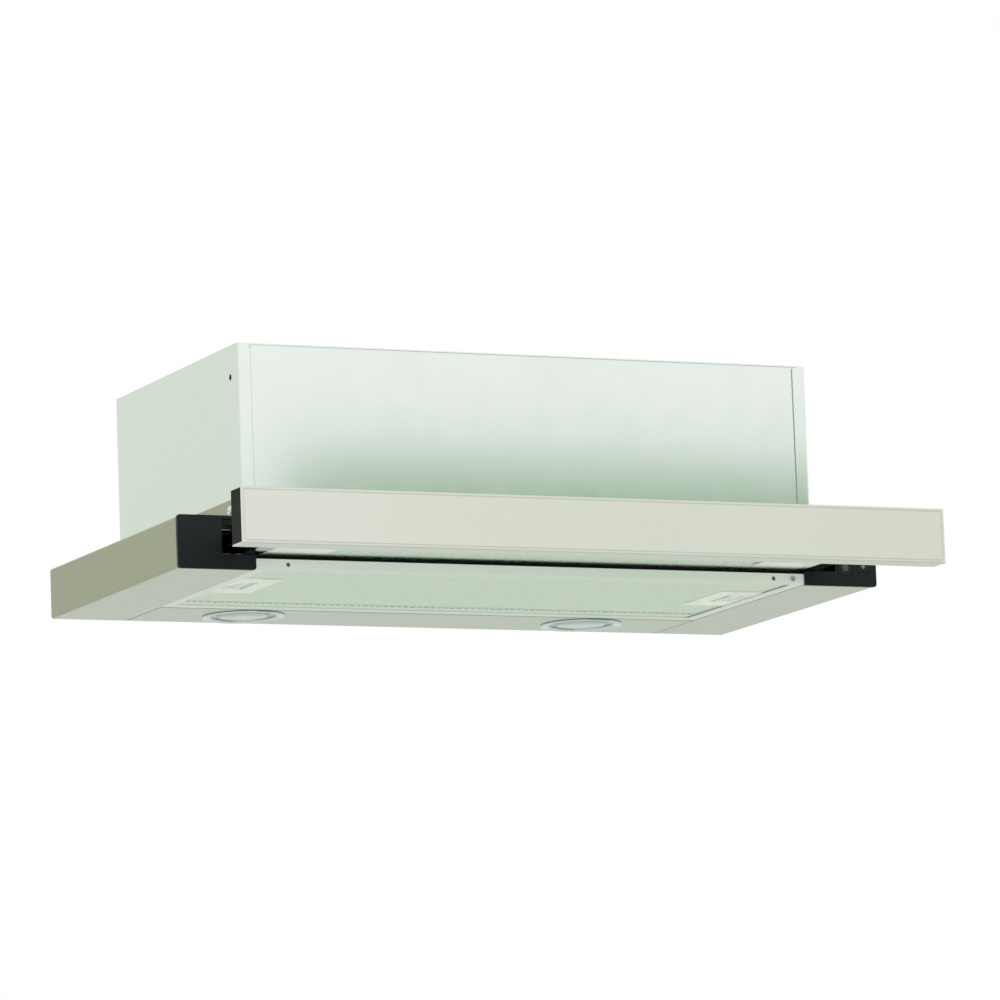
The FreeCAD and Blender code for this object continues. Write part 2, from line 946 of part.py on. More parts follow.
def make_back_plate():
    """Cut the plate that closes the back of the fascia."""
    plate = extrude_y(
        "fascia_back_plate",
        box_corners(
            (0 - fascia_inner + size.cap_plug, size.fascia_bottom + size.sheet),
            (fascia_inner - size.cap_plug, fascia_top - size.sheet),
        ),
        fascia_back,
        fascia_back - size.sheet,
    )
    pierce_for_fascia_screws(plate, fascia_back - size.sheet)


def make_fascia_cap(name, side):
    """Mould the black plug that closes one end of the fascia."""
    cap = extrude_x(
        "fascia_cap_" + name,
        box_corners(
            (fascia_front + size.sheet, size.fascia_bottom + size.sheet),
            (fascia_back, fascia_top - size.sheet),
        ),
        *mirrored_pair(side, fascia_inner, half_fascia),
    )
    outer = size.sheet + size.cap_fit
    inner = outer + size.cap_wall
    low_x, high_x = mirrored_pair(side, fascia_inner - size.cap_plug + size.cap_fit, fascia_inner)
    plug = new_sketch(cap, "YZ_Plane", low_x)
    draw_rectangle(
        plug,
        (fascia_front + outer, size.fascia_bottom + outer),
        (fascia_back - outer, fascia_top - outer),
    )
    draw_rectangle(
        plug,
        (fascia_front + inner, size.fascia_bottom + inner),
        (fascia_back - inner, fascia_top - inner),
    )
    add_pad(cap, plug, high_x - low_x)
    return cap


for name, side in SIDES.items():
    make_fascia_cap(name, side)

drawer_bottom = size.pocket_floor + size.filter_gap
drawer_top = drawer_bottom + size.drawer_height
bracket_x = half_width - size.bracket_inset
slide_web = bracket_x - size.slide_wall
inner_web = bracket_x - size.slide_thickness
drawer_x = inner_web
drawer_rear = fascia_back + size.drawer_depth
fascia_screw_x = drawer_x - size.drawer_ledge / 2
fascia_screw_z = drawer_top - size.screw_head * 2
make_back_plate()


def make_drawer_side(name, side):
    """Fold one drawer arm: a wall with a ledge below and an ear that screws to the fascia."""
    path = [
        (side * (drawer_x - size.drawer_ledge), drawer_bottom),
        (side * drawer_x, drawer_bottom),
        (side * drawer_x, drawer_top),
    ]
    arm = extrude_y("drawer_side_" + name, folded(path, size.sheet, side), drawer_rear, fascia_back)
    low_x, high_x = mirrored_pair(side, drawer_x - size.drawer_ledge, drawer_x)
    add_block(arm, (low_x, fascia_back, drawer_bottom), (high_x, fascia_back + size.sheet, drawer_top))
    pierce_for_fascia_screws(arm, fascia_back)
    return arm


for name, side in SIDES.items():
    make_drawer_side(name, side)

drawer_inside = drawer_x - size.sheet
ledge_top = drawer_bottom + size.sheet
visor_top = ledge_top + size.visor_height
rear_bar_path = [
    (drawer_rear - size.flange, visor_top),
    (drawer_rear, visor_top),
    (drawer_rear, drawer_top),
    (drawer_rear - size.flange, drawer_top),
]
extrude_x("drawer_rear_bar", folded(rear_bar_path, size.sheet, 1), 0 - drawer_inside, drawer_inside)

visor_outer = (
    (0 - drawer_inside, fascia_back + size.sheet),
    (drawer_inside, drawer_rear),
)
visor_inner = (
    (visor_outer[0][0] + size.visor_border, visor_outer[0][1] + size.filter_border),
    (visor_outer[1][0] - size.visor_border, visor_outer[1][1] - size.filter_rear_border),
)


def make_visor_filter():
    """Frame the drawer's own filter and fill it with mesh."""
    frame = new_body("visor_filter_frame")
    border = new_sketch(frame, "XY_Plane", ledge_top)
    draw_rectangle(border, *visor_outer)
    draw_rectangle(border, *visor_inner)
    add_pad(frame, border, size.visor_height)
    bottom = ledge_top + size.mesh_lift
    extrude_z("visor_filter_mesh", box_corners(*visor_inner), bottom, visor_top - size.sheet)


make_visor_filter()


def make_visor_latches():
    """Mould the two low latch plates under the drawer's filter."""
    latches = []
    front = visor_inner[0][1] + size.latch_from_front / 2
    for side in SIDES.values():
        high = drawer_x - size.drawer_ledge - size.filter_gap
        low_x, high_x = mirrored_pair(side, high - size.visor_latch_width, high)
        length = float(size.visor_latch_length)
        shape = Part.makeBox(
            float(high_x - low_x),
            length,
            float(size.visor_latch_height),
            Vector(float(low_x), float(front), float(ledge_top - size.visor_latch_height)),
        )
        latches.append(shape)
    group = keep(doc.addObject("Part::Feature", "visor_latches"))
    group.Shape = Part.makeCompound(latches)


make_visor_latches()


# ---------------------------------------------------------------- telescopic slides

slide_top = size.slide_bottom + size.slide_height
slide_rear = 0 - size.slide_back_gap
slide_front = frame_front + size.slide_setback
inner_rear = slide_rear - size.drawer_out - size.slide_stop
inner_front = inner_rear - size.slide_inner_length
track = (size.ball + size.ball_clearance) * 2
inner_bottom = size.slide_bottom + size.slide_wall + track
inner_top = slide_top - size.slide_wall - track
inner_reach = slide_web - size.slide_wall - size.slide_tip_gap
cage_rear = (slide_front + inner_rear) / 2 + size.cage_length / 2
cage_front = cage_rear - size.cage_length
cage_web = (inner_reach + slide_web + size.cage_sheet) / 2
bracket_front = cap_back + size.cap_plug + size.cap_fit
BALL_STEPS = (-1.5, -0.5, 0.5, 1.5)


def make_slide(name, side):
    """Roll one slide: carrying bracket, fixed outer channel and moving inner channel."""
    foot = bracket_x + size.bracket_foot
    bracket = [
        (side * foot, size.sheet),
        (side * bracket_x, size.sheet),
        (side * bracket_x, casing_bottom),
        (side * foot, casing_bottom),
    ]
    extrude_y("slide_bracket_" + name, folded(bracket, size.sheet, -side), slide_rear, bracket_front)
    lip = inner_web + size.slide_wall + size.slide_tip_gap
    outer = [
        (side * lip, size.slide_bottom),
        (side * bracket_x, size.slide_bottom),
        (side * bracket_x, slide_top),
        (side * lip, slide_top),
    ]
    extrude_y("slide_outer_" + name, folded(outer, size.slide_wall, side), slide_rear, slide_front)
    inner = [
        (side * inner_reach, inner_bottom),
        (side * inner_web, inner_bottom),
        (side * inner_web, inner_top),
        (side * inner_reach, inner_top),
    ]
    extrude_y("slide_inner_" + name, folded(inner, size.slide_wall, -side), inner_rear, inner_front)


def ball_places(side):
    """List the centres of one slide's balls, in a lower and an upper row."""
    low = size.slide_bottom + size.slide_wall + size.ball + size.ball_clearance
    high = slide_top - size.slide_wall - size.ball - size.ball_clearance
    middle = (cage_rear + cage_front) / 2
    ball_x = (inner_web + inner_reach) / 2
    return [
        Vector(float(side * ball_x), float(middle) + step * float(size.ball_pitch), float(height))
        for height in (low, high)
        for step in BALL_STEPS
    ]


def faceted_ball(centre):
    """Cut a ball with few faces: what four cubes share, three of them turned by an eighth."""
    reach = float(size.ball)
    cube = Part.makeBox(2 * reach, 2 * reach, 2 * reach, Vector(-reach, -reach, -reach))
    ball = cube
    for axis in (Vector(1, 0, 0), Vector(0, 1, 0), Vector(0, 0, 1)):
        turned = cube.copy()
        turned.rotate(Vector(), axis, 45)
        ball = ball.common(turned)
    ball.translate(centre)
    return ball


def make_cage(name, side):
    """Fold one ball cage and drop its balls into the holes."""
    low = size.slide_bottom + size.slide_wall + size.ball + size.ball_clearance - size.cage_sheet / 2
    high = size.slide_bottom + slide_top - low
    tip = inner_web + size.slide_wall + size.slide_tip_gap
    path = [
        (side * tip, low),
        (side * cage_web, low),
        (side * cage_web, high),
        (side * tip, high),
    ]
    cage = extrude_y("ball_cage_" + name, folded(path, size.cage_sheet, side), cage_rear, cage_front)
    holes = new_sketch(cage, "XY_Plane", size.slide_bottom)
    centres = ball_places(side)
    ball_x = side * (inner_web + inner_reach) / 2
    middle = (cage_rear + cage_front) / 2
    room = size.ball + size.ball_clearance
    for step in BALL_STEPS:
        hole_y = middle + step * size.ball_pitch
        draw_rectangle(holes, (ball_x - room, hole_y - room), (ball_x + room, hole_y + room))
    cut_pocket(cage, holes)
    balls = keep(doc.addObject("Part::Feature", "slide_balls_" + name))
    balls.Shape = Part.makeCompound([faceted_ball(centre) for centre in centres])


for name, side in SIDES.items():
    make_slide(name, side)
    make_cage(name, side)


# ---------------------------------------------------------------- blower

blower_middle = Vector(0, -float(size.blower_y), float(size.blower_z))


def in_plane(reach, angle):
    """Place a point around the blower's axis, from its distance and its angle above the rear."""
    turned = math.radians(angle)
    return blower_middle + Vector(0, reach * math.cos(turned), reach * math.sin(turned))


def scroll_face(extra):
    """Outline the scroll: a growing spiral, then a straight duct up to the outlet."""
    start = float(size.scroll_tongue)
    arc_count = int(float(size.scroll_arc_count))
    step = (FULL_TURN - start) / arc_count
    growth = (float(size.scroll_end) - float(size.scroll_start)) / (FULL_TURN - start)
    reach = [float(size.scroll_start) + extra + growth * step * half / 2 for half in range(2 * arc_count + 1)]
    points = [in_plane(reach[half], start + step * half / 2) for half in range(2 * arc_count + 1)]
    tongue_y = in_plane(float(size.scroll_start), start).y - extra
    rise = math.sqrt(reach[0] ** 2 - (tongue_y - blower_middle.y) ** 2)
    points[0] = Vector(0, tongue_y, blower_middle.z + rise)
    roof = float(casing_roof)
    edges = [
        Part.Arc(points[2 * number], points[2 * number + 1], points[2 * number + 2]).toShape()
        for number in range(arc_count)
    ]
    rear_top = Vector(0, points[-1].y, roof)
    front_top = Vector(0, tongue_y, roof)
    edges.append(Part.makeLine(points[-1], rear_top))
    edges.append(Part.makeLine(rear_top, front_top))
    edges.append(Part.makeLine(front_top, points[0]))
    return Part.Face(Part.Wire(edges))


def make_scroll(name, side):
    """Press one half of the scroll: a side wall with its inlet, and half of the rim."""
    wall = float(size.scroll_wall)
    half = float(size.scroll_width) / 2
    outside = scroll_face(wall).extrude(Vector(side * (half + wall), 0, 0))
    inside = scroll_face(0).extrude(Vector(side * half, 0, 0))
    inlet = Part.makeCylinder(float(size.inlet), half * 2, blower_middle, Vector(side, 0, 0))
    scroll = keep(doc.addObject("Part::Feature", "scroll_" + name))
    scroll.Shape = outside.cut(inside).cut(inlet).removeSplitter()


for name, side in SIDES.items():
    make_scroll(name, side)


def make_wheel():
    """Mould the wheel: forward-curved blades between two rings, on a middle plate with a hub."""
    wheel = new_body("impeller_wheel")
    half = size.wheel_width / 2
    disc = new_sketch(wheel, "YZ_Plane", 0 - size.wheel_plate / 2)
    origin = (as_size(0), as_size(0))
    draw_circle(disc, origin, size.wheel_radius)
    draw_circle(disc, origin, size.shaft)
    add_pad(wheel, disc, size.wheel_plate)
    hub = new_sketch(wheel, "YZ_Plane", 0 - size.hub_width / 2)
    draw_circle(hub, origin, size.hub)
    draw_circle(hub, origin, size.shaft)
    add_pad(wheel, hub, size.hub_width)
    blade_end = half - size.wheel_ring / 2
    blade = new_sketch(wheel, "YZ_Plane", 0 - blade_end)
    draw_blade(blade)
    pad = add_pad(wheel, blade, blade_end * 2)
    pattern = wheel.newObject("PartDesign::PolarPattern", "impeller_wheel_blades")
    pattern.Originals = [pad]
    pattern.Axis = (blade, ["N_Axis"])
    pattern.Angle = FULL_TURN
    bind(pattern, "Occurrences", size.blade_count)
    wheel.Tip = pattern
    doc.recompute()
    for start in (0 - half, half - size.wheel_ring):
        ring = new_sketch(wheel, "YZ_Plane", start)
        draw_circle(ring, origin, size.wheel_radius)
        draw_circle(ring, origin, size.wheel_inner)
        add_pad(wheel, ring, size.wheel_ring)
    place(wheel, as_size(0), 0 - size.blower_y, size.blower_z)
    return wheel


def draw_blade(sketch):
    """Draw one blade's section: two straight runs that lean into the turn."""
    root = size.wheel_inner + size.blade / 2
    tip = size.wheel_radius - size.blade / 2
    front = [
        turned_out(root, 0),
        turned_out((root + tip) / 2, size.blade_bow),
        turned_out(tip, size.blade_lean),
    ]
    back = [(across, up + size.blade) for across, up in front]
    draw_outline(sketch, front + back[::-1])


def turned_out(reach, angle):
    """Place a corner at a distance from the shaft, turned by an angle in degrees."""
    turned = math.radians(float(angle))
    return reach * math.cos(turned), reach * math.sin(turned)


make_wheel()

half_scroll = size.scroll_width / 2
spider_x = 0 - half_scroll - size.scroll_wall
motor_start = spider_x
shaft_end = size.hub_width / 2 + size.shaft


def make_motor():
    """Turn the motor's can with a bore for the shaft, and stand it on a three-armed spider."""
    motor = new_body("motor_housing")
    can = new_sketch(motor, "YZ_Plane", motor_start)
    origin = (as_size(0), as_size(0))
    draw_circle(can, origin, size.motor_radius)
    add_pad(motor, can, size.motor_length)
    room = new_sketch(motor, "YZ_Plane", motor_start + size.motor_length)
    draw_circle(room, origin, size.shaft + size.shaft_fit)
    cut_pocket(motor, room, size.motor_length / 2)
    far_end = float(motor_start + size.motor_length)
    round_edges(
        motor,
        size.motor_wall,
        lambda edge: edge.BoundBox.XLength < NEAR
        and abs(edge.BoundBox.YLength - 2 * float(size.motor_radius)) < NEAR
        and abs(edge.BoundBox.XMin - far_end) < NEAR,
        "Chamfer",
    )
    place(motor, as_size(0), 0 - size.blower_y, size.blower_z)
    spider = new_body("motor_spider")
    hub = new_sketch(spider, "YZ_Plane", spider_x - size.spider)
    draw_circle(hub, origin, size.motor_radius)
    add_pad(spider, hub, size.spider)
    arm = new_sketch(spider, "YZ_Plane", spider_x - size.spider)
    reach = size.inlet + size.spider * 2
    draw_rectangle(arm, (size.motor_radius - size.spider, 0 - size.spider), (reach, size.spider))
    pad = add_pad(spider, arm, size.spider)
    pattern = spider.newObject("PartDesign::PolarPattern", "motor_spider_arms")
    pattern.Originals = [pad]
    pattern.Axis = (arm, ["N_Axis"])
    pattern.Angle = FULL_TURN
    pattern.Occurrences = 3
    spider.Tip = pattern
    doc.recompute()
    place(spider, as_size(0), 0 - size.blower_y, size.blower_z)
    shaft = new_body("motor_shaft")
    rod = new_sketch(shaft, "YZ_Plane", motor_start + size.motor_length / 2 + size.seam)
    draw_circle(rod, origin, size.shaft)
    add_pad(shaft, rod, shaft_end - motor_start - size.motor_length / 2 - size.seam)
    place(shaft, as_size(0), 0 - size.blower_y, size.blower_z)


make_motor()


# ---------------------------------------------------------------- outlet collar and its flaps

collar_inner = size.outlet_radius - size.outlet_wall
collar_top = size.casing_top + size.outlet_height
pin_z = size.casing_top + size.outlet_height / 2


def make_collar():
    """Turn the outlet collar, with the pin that its two flaps hang on."""
    collar = new_body("outlet_collar")
    turn(
        collar,
        [
            (collar_inner, as_size(0)),
            (size.outlet_flange, as_size(0)),
            (size.outlet_flange, size.outlet_wall),
            (size.outlet_radius, size.outlet_wall),
            (size.outlet_radius, size.outlet_height),
            (collar_inner, size.outlet_height),
        ],
    )
    place(collar, as_size(0), 0 - size.outlet_y, size.casing_top)
    rod = new_body("flap_pin")
    section = new_sketch(rod, "YZ_Plane", 0 - collar_inner + size.seam)
    draw_circle(section, (0 - size.outlet_y, pin_z), size.pin)
    add_pad(rod, section, (collar_inner - size.seam) * 2)


def make_flap(name, side, knuckles):
    """Mould one half-round flap with the knuckles that ride on the pin."""
    reach = collar_inner - size.flap_gap
    flap = new_body("flap_" + name)
    leaf = new_sketch(flap, "XY_Plane", 0 - size.flap / 2)
    edge = float(size.knuckle + size.seam)
    radius = float(reach)
    width = math.sqrt(radius**2 - edge**2)
    ends = [Vector(-width, side * edge, 0), Vector(width, side * edge, 0)]
    leaf.addGeometry(Part.Arc(ends[0], Vector(0, side * radius, 0), ends[1]), False)
    leaf.addGeometry(Part.LineSegment(ends[1], ends[0]), False)
    add_pad(flap, leaf, size.flap)
    for low_x in knuckles:
        web = new_sketch(flap, "XY_Plane", 0 - size.flap / 2)
        near, far = sorted((side * float(size.pin + size.pin_fit), side * (edge + 1)))
        draw_rectangle(web, (low_x, near), (low_x + size.knuckle_width, far))
        add_pad(flap, web, size.flap)
        tube = new_sketch(flap, "YZ_Plane", low_x)
        draw_circle(tube, (as_size(0), as_size(0)), size.knuckle)
        draw_circle(tube, (as_size(0), as_size(0)), size.pin + size.pin_fit)
        add_pad(flap, tube, size.knuckle_width)
    place(flap, as_size(0), 0 - size.outlet_y, pin_z)
    return flap


make_collar()
make_flap("front", -1, [0 - size.knuckle_width * 3, size.knuckle_width * 2])
make_flap("back", 1, [0 - size.knuckle_width * 1.5, size.knuckle_width / 2])


# ---------------------------------------------------------------- controls and electrics

control_front = cap_face
button_rear = control_front + size.control_depth
switch_front = button_rear + size.press + size.seam


def make_controls():
    """Mould the light button, the speed knob and the switch block behind them."""
    half = size.button_width / 2
    button = extrude_y(
        "light_button",
        box_corners(
            (button_x - half, size.button_bottom),
            (button_x + half, size.button_bottom + size.button_height),
        ),
        button_rear,
        control_front,
    )
    round_edges(button, size.corner / 4, lambda edge: along(edge, "y"))
    half = size.knob_width / 2
    reach = size.knob_height / 2
    knob = extrude_y(
        "speed_knob",
        box_corners((slot_x - half, knob_z - reach), (slot_x + half, knob_z + reach)),
        button_rear,
        control_front,
    )
    round_edges(knob, size.corner / 4, lambda edge: along(edge, "y"))
    extrude_y(
        "switch_block",
        box_corners(
            (button_x - size.button_width / 2, size.sheet),
            (half_width - size.sheet - size.bend, casing_bottom),
        ),
        switch_front + size.switch_depth,
        switch_front,
    )


make_controls()


def make_terminal_box():
    """Fix the closed terminal box to the back panel, under the cable gland."""
    low_x = gland_x - size.box_width / 2
    top = size.casing_top - size.gland * 2
    box = extrude_y(
        "terminal_box",
        box_corners((low_x, top - size.box_height), (low_x + size.box_width, top)),
        inner_back,
        inner_back - size.box_depth,
    )
    front = inner_back - size.box_depth
    round_edges(box, size.bend, lambda edge: along(edge, "x", y=front) or along(edge, "z", y=front))


make_terminal_box()


def make_gland():
    """Make the cable gland in the top panel: a six-sided cap on a round thread, bored through."""
    gland = new_body("cable_gland")
    origin = (as_size(0), as_size(0))
    cap = new_sketch(gland, "XY_Plane", as_size(0))
    sixth = FULL_TURN // 6
    draw_outline(cap, [turned_out(size.gland * 1.5, angle) for angle in range(0, FULL_TURN, sixth)])
    add_pad(gland, cap, size.gland)
    thread = new_sketch(gland, "XY_Plane", 0 - size.gland)
    draw_circle(thread, origin, size.gland - size.cap_fit)
    add_pad(gland, thread, size.gland)
    bore = new_sketch(gland, "XY_Plane", as_size(0))
    draw_circle(bore, origin, size.gland_bore)
    cut_pocket(gland, bore)
    place(gland, gland_x, 0 - size.gland_y, size.casing_top)


make_gland()


# ---------------------------------------------------------------- fasteners


def screw(seat, direction, length, washer=False):
    """Make a pan-head screw on its seat, its shank going the other way, with a washer if asked."""
    outward = Vector(*direction)
    lift = float(size.washer_thickness) if washer else 0
    base = seat + outward * lift
    head = float(size.screw_head)
    tall = float(size.head_height)
    solid = Part.makeCone(head, head * 0.7, tall, base, outward)
    shank = Part.makeCylinder(float(size.screw), float(length) + lift, base, outward * -1)
    solid = solid.fuse(shank)
    if washer:
        solid = solid.fuse(Part.makeCylinder(float(size.washer), lift, seat, outward))
    return solid.removeSplitter()


def screw_group(label, seats):
    """Gather identical screws as one group."""
    group = keep(doc.addObject("Part::Feature", label))
    group.Shape = Part.makeCompound([screw(*seat) for seat in seats])


def spot(across, depth, height):
    """Turn three sizes into a point."""
    return Vector(float(across), float(depth), float(height))


def housing_seats():
    """List the housing's screws: rails to casing, front flanges, and the bar's right end."""
    seats = []
    for side in SIDES.values():
        for place_y in rail_screw_places:
            seat = spot(side * (half_casing + size.sheet), place_y, rail_screw_z)
            seats.append((seat, (side, 0, 0), size.screw_length, True))
    seats.append((spot(bar_screw_x, frame_front, bar_hole_z), (0, -1, 0), size.carrier_front_strip))
    return seats


def fascia_seats():
    """List the screws that hold the drawer arms' ears to the fascia's back plate."""
    return [
        (spot(side * fascia_screw_x, fascia_back + size.sheet, fascia_screw_z), (0, 1, 0), size.screw_length)
        for side in SIDES.values()
    ]


screw_group("housing_screws", housing_seats())
screw_group("fascia_screws", fascia_seats())


# ---------------------------------------------------------------- check and write


def check():
    """Stop if any object failed or any piece has no valid shape."""
    doc.recompute()
    for item in doc.Objects:
        if "Invalid" in item.State or "Error" in item.State:
            raise RuntimeError(item.Label + " failed")
    for piece in PIECES:
        if piece.Shape.isNull() or not piece.Shape.isValid():
            raise RuntimeError(piece.Label + " has no valid shape")


def write():
    """Write every piece to its own file."""
    os.makedirs("parts", exist_ok=True)
    for piece in PIECES:
        piece.Shape.exportStep("parts/" + piece.Label + ".step")


check()
write()
for piece in PIECES:
    box = piece.Shape.BoundBox
    print(
        f"{piece.Label:24s} solids {len(piece.Shape.Solids):2d}"
        f" x {box.XMin:8.1f} {box.XMax:8.1f} y {box.YMin:8.1f} {box.YMax:8.1f}"
        f" z {box.ZMin:7.1f} {box.ZMax:7.1f}"
    )
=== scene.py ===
# %% [markdown]
# # A pull-out range hood
#
# This lesson dresses a imported model of a cabinet hood: sheet-metal casing, brushed frame, cream fascia
# drawer, grease filters of expanded aluminium, two downlights and black moulded ends.
#
# The imported model comes first. Its parts are already at their real places, in metres, with the wall at y = 0,
# the front towards -y and the underside of the frame at z = 0. Nothing that we add may make the hood bigger.

import json
import math

import bmesh
import bpy
from mathutils import Matrix, Vector


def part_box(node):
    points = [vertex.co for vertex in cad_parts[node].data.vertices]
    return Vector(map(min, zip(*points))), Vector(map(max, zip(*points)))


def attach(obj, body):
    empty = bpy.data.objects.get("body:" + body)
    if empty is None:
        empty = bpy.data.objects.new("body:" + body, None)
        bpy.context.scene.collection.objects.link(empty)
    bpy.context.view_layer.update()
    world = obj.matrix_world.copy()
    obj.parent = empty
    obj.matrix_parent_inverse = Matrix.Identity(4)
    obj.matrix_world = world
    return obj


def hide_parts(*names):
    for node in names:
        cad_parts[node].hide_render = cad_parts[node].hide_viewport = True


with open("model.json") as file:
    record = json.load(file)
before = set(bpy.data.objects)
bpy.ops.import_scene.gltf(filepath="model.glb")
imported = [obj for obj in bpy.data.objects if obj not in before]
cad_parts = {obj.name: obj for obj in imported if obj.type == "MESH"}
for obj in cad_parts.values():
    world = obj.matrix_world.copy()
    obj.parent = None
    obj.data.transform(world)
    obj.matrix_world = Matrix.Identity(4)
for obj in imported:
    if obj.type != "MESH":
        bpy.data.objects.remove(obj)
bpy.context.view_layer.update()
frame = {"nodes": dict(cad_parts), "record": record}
nodes = frame["nodes"]
MM = 0.001
SIDES = (("left", -1), ("right", 1))
print(len(nodes), "parts in the frame")

# %% [markdown]
# ## Camera
#
# The hood is seen from the left front and from a little below, as a cook sees it above the hob. A long lens
# from five metres away keeps its edges almost parallel. We could turn the camera with angles, but building
# its three axes as vectors is easier to read: one axis looks forwards, one points right, and one is up. The
# small roll is the tilt that the picture has.

# %% Place the camera
CAMERA_AZIMUTH = math.radians(24.37)
CAMERA_RISE = math.radians(8.89)
CAMERA_ROLL = math.radians(-2.13)
CAMERA_LENS = 243.3
CAMERA_PLACE = (-2.1872, -5.0471, -0.7579)
SENSOR_WIDTH = 36


def camera_axes():
    """Work out the camera's right, up and forward directions."""
    flat = math.cos(CAMERA_RISE)
    across = math.sin(CAMERA_AZIMUTH)
    ahead = math.cos(CAMERA_AZIMUTH)
    forward = Vector((across * flat, ahead * flat, math.sin(CAMERA_RISE)))
    level = Vector((ahead, -across, 0))
    upright = level.cross(forward)
    right = level * math.cos(CAMERA_ROLL) + upright * math.sin(CAMERA_ROLL)
    return right, right.cross(forward), forward


def add_camera():
    """Create the camera and stand it where the picture is taken from."""
    right, up, forward = camera_axes()
    data = bpy.data.cameras.new("hood_camera")
    data.lens = CAMERA_LENS
    data.sensor_width = SENSOR_WIDTH
    camera = bpy.data.objects.new("hood_camera", data)
    turn = Matrix((right, up, -forward)).transposed().to_4x4()
    camera.matrix_world = Matrix.Translation(CAMERA_PLACE) @ turn
    bpy.context.scene.collection.objects.link(camera)
    bpy.context.scene.camera = camera
    return camera


camera = add_camera()
bpy.context.scene.view_settings.view_transform = "Standard"
print("camera at", [round(value, 3) for value in camera.location])

# %% [markdown]
# ## Colours
#
# Colours are written as a screen shows them, from 0 to 255, and turned into the linear light that Blender
# mixes.


# %% Colour helper
def shade(red, green, blue):
    """Turn a screen colour into linear light, with full opacity."""
    light = []
    for value in (red, green, blue):
        part = value / 255
        light.append(part / 12.92 if part <= 0.04045 else ((part + 0.055) / 1.055) ** 2.4)
    return (*light, 1)


# %% [markdown]
# ## Floor, world and lamps
#
# A studio picture of such a hood has a white surround and soft light from all sides. The world gives most
# of the light. Rays that go straight to the camera, or that come off metal and glass, see it as plain
# white. The floor is far below, pale, and sends light up to the underside. The camera looks through it, so
# that the hood can also be seen from underneath.

# %% Floor
FLOOR_HEIGHT = -1.15
FLOOR_SIZE = 60
FLOOR_WHITENESS = 0.6


def seen_directly(tree):
    """Say 1 for rays that come from the camera or off metal and glass, and 0 for the light on the hood."""
    rays = tree.nodes.new("ShaderNodeLightPath")
    camera_or_mirror = tree.nodes.new("ShaderNodeMath")
    camera_or_mirror.operation = "MAXIMUM"
    tree.links.new(rays.outputs["Is Camera Ray"], camera_or_mirror.inputs[0])
    tree.links.new(rays.outputs["Is Glossy Ray"], camera_or_mirror.inputs[1])
    or_glass = tree.nodes.new("ShaderNodeMath")
    or_glass.operation = "MAXIMUM"
    tree.links.new(camera_or_mirror.outputs["Value"], or_glass.inputs[0])
    tree.links.new(rays.outputs["Is Transmission Ray"], or_glass.inputs[1])
    return or_glass.outputs["Value"]


def add_floor():
    """Lay a pale floor under the hood, which the camera itself doesn't see."""
    bpy.ops.mesh.primitive_plane_add(size=FLOOR_SIZE, location=(0, 0, FLOOR_HEIGHT))
    floor = bpy.context.object
    floor.name = "studio_floor"
    paint = bpy.data.materials.new("studio_floor_paint")
    paint.use_nodes = True
    tree = paint.node_tree
    tree.nodes.clear()
    output = tree.nodes.new("ShaderNodeOutputMaterial")
    choose = tree.nodes.new("ShaderNodeMixShader")
    matte = tree.nodes.new("ShaderNodeBsdfDiffuse")
    white = tree.nodes.new("ShaderNodeEmission")
    matte.inputs["Color"].default_value = shade(247, 247, 247)
    share = tree.nodes.new("ShaderNodeMath")
    share.operation = "MULTIPLY"
    share.inputs[1].default_value = FLOOR_WHITENESS
    tree.links.new(seen_directly(tree), share.inputs[0])
    tree.links.new(share.outputs["Value"], choose.inputs["Fac"])
    tree.links.new(matte.outputs["BSDF"], choose.inputs[1])
    tree.links.new(white.outputs["Emission"], choose.inputs[2])
    tree.links.new(choose.outputs["Shader"], output.inputs["Surface"])
    floor.data.materials.append(paint)
    floor.visible_camera = False
    return floor


add_floor()
print("floor at", FLOOR_HEIGHT, "m")

# %% World
WORLD_LIGHT = 0.82


def light_world():
    """Give the scene an even surround that is white where it is seen and softer where it lights."""
    world = bpy.data.worlds.new("studio_world")
    bpy.context.scene.world = world
    world.use_nodes = True
    tree = world.node_tree
    tree.nodes.clear()
    output = tree.nodes.new("ShaderNodeOutputWorld")
    choose = tree.nodes.new("ShaderNodeMixShader")
    lighting = tree.nodes.new("ShaderNodeBackground")
    seen = tree.nodes.new("ShaderNodeBackground")
    lighting.inputs["Strength"].default_value = WORLD_LIGHT
    tree.links.new(seen_directly(tree), choose.inputs["Fac"])
    tree.links.new(lighting.outputs["Background"], choose.inputs[1])
    tree.links.new(seen.outputs["Background"], choose.inputs[2])
    tree.links.new(choose.outputs["Shader"], output.inputs["Surface"])
    lighting.inputs["Color"].default_value = (1, 1, 1, 1)
    seen.inputs["Color"].default_value = (1, 1, 1, 1)


light_world()
print("world light", WORLD_LIGHT)

# %% Softboxes and the grey-green card
SOFTBOX_POWER = 9
SOFTBOX_WIDTH = 2.0
SOFTBOX_HEIGHT = 1.2
SOFTBOX_TARGET = (0, -0.2, 0.1)


def add_softbox(name, place, power):
    """Hang a soft rectangular lamp that faces the hood, and that metal doesn't mirror."""
    data = bpy.data.lights.new(name, "AREA")
    data.shape = "RECTANGLE"
    data.size = SOFTBOX_WIDTH
    data.size_y = SOFTBOX_HEIGHT
    data.energy = power
    lamp = bpy.data.objects.new(name, data)
    aim = (Vector(SOFTBOX_TARGET) - Vector(place)).to_track_quat("-Z", "Y")
    lamp.matrix_world = Matrix.Translation(place) @ aim.to_matrix().to_4x4()
    lamp.visible_glossy = False
    bpy.context.scene.collection.objects.link(lamp)
    return lamp


add_softbox("front_softbox", (-1.2, -2.6, 1.6), SOFTBOX_POWER * 2)
add_softbox("top_softbox", (0.2, -0.4, 2.2), SOFTBOX_POWER)

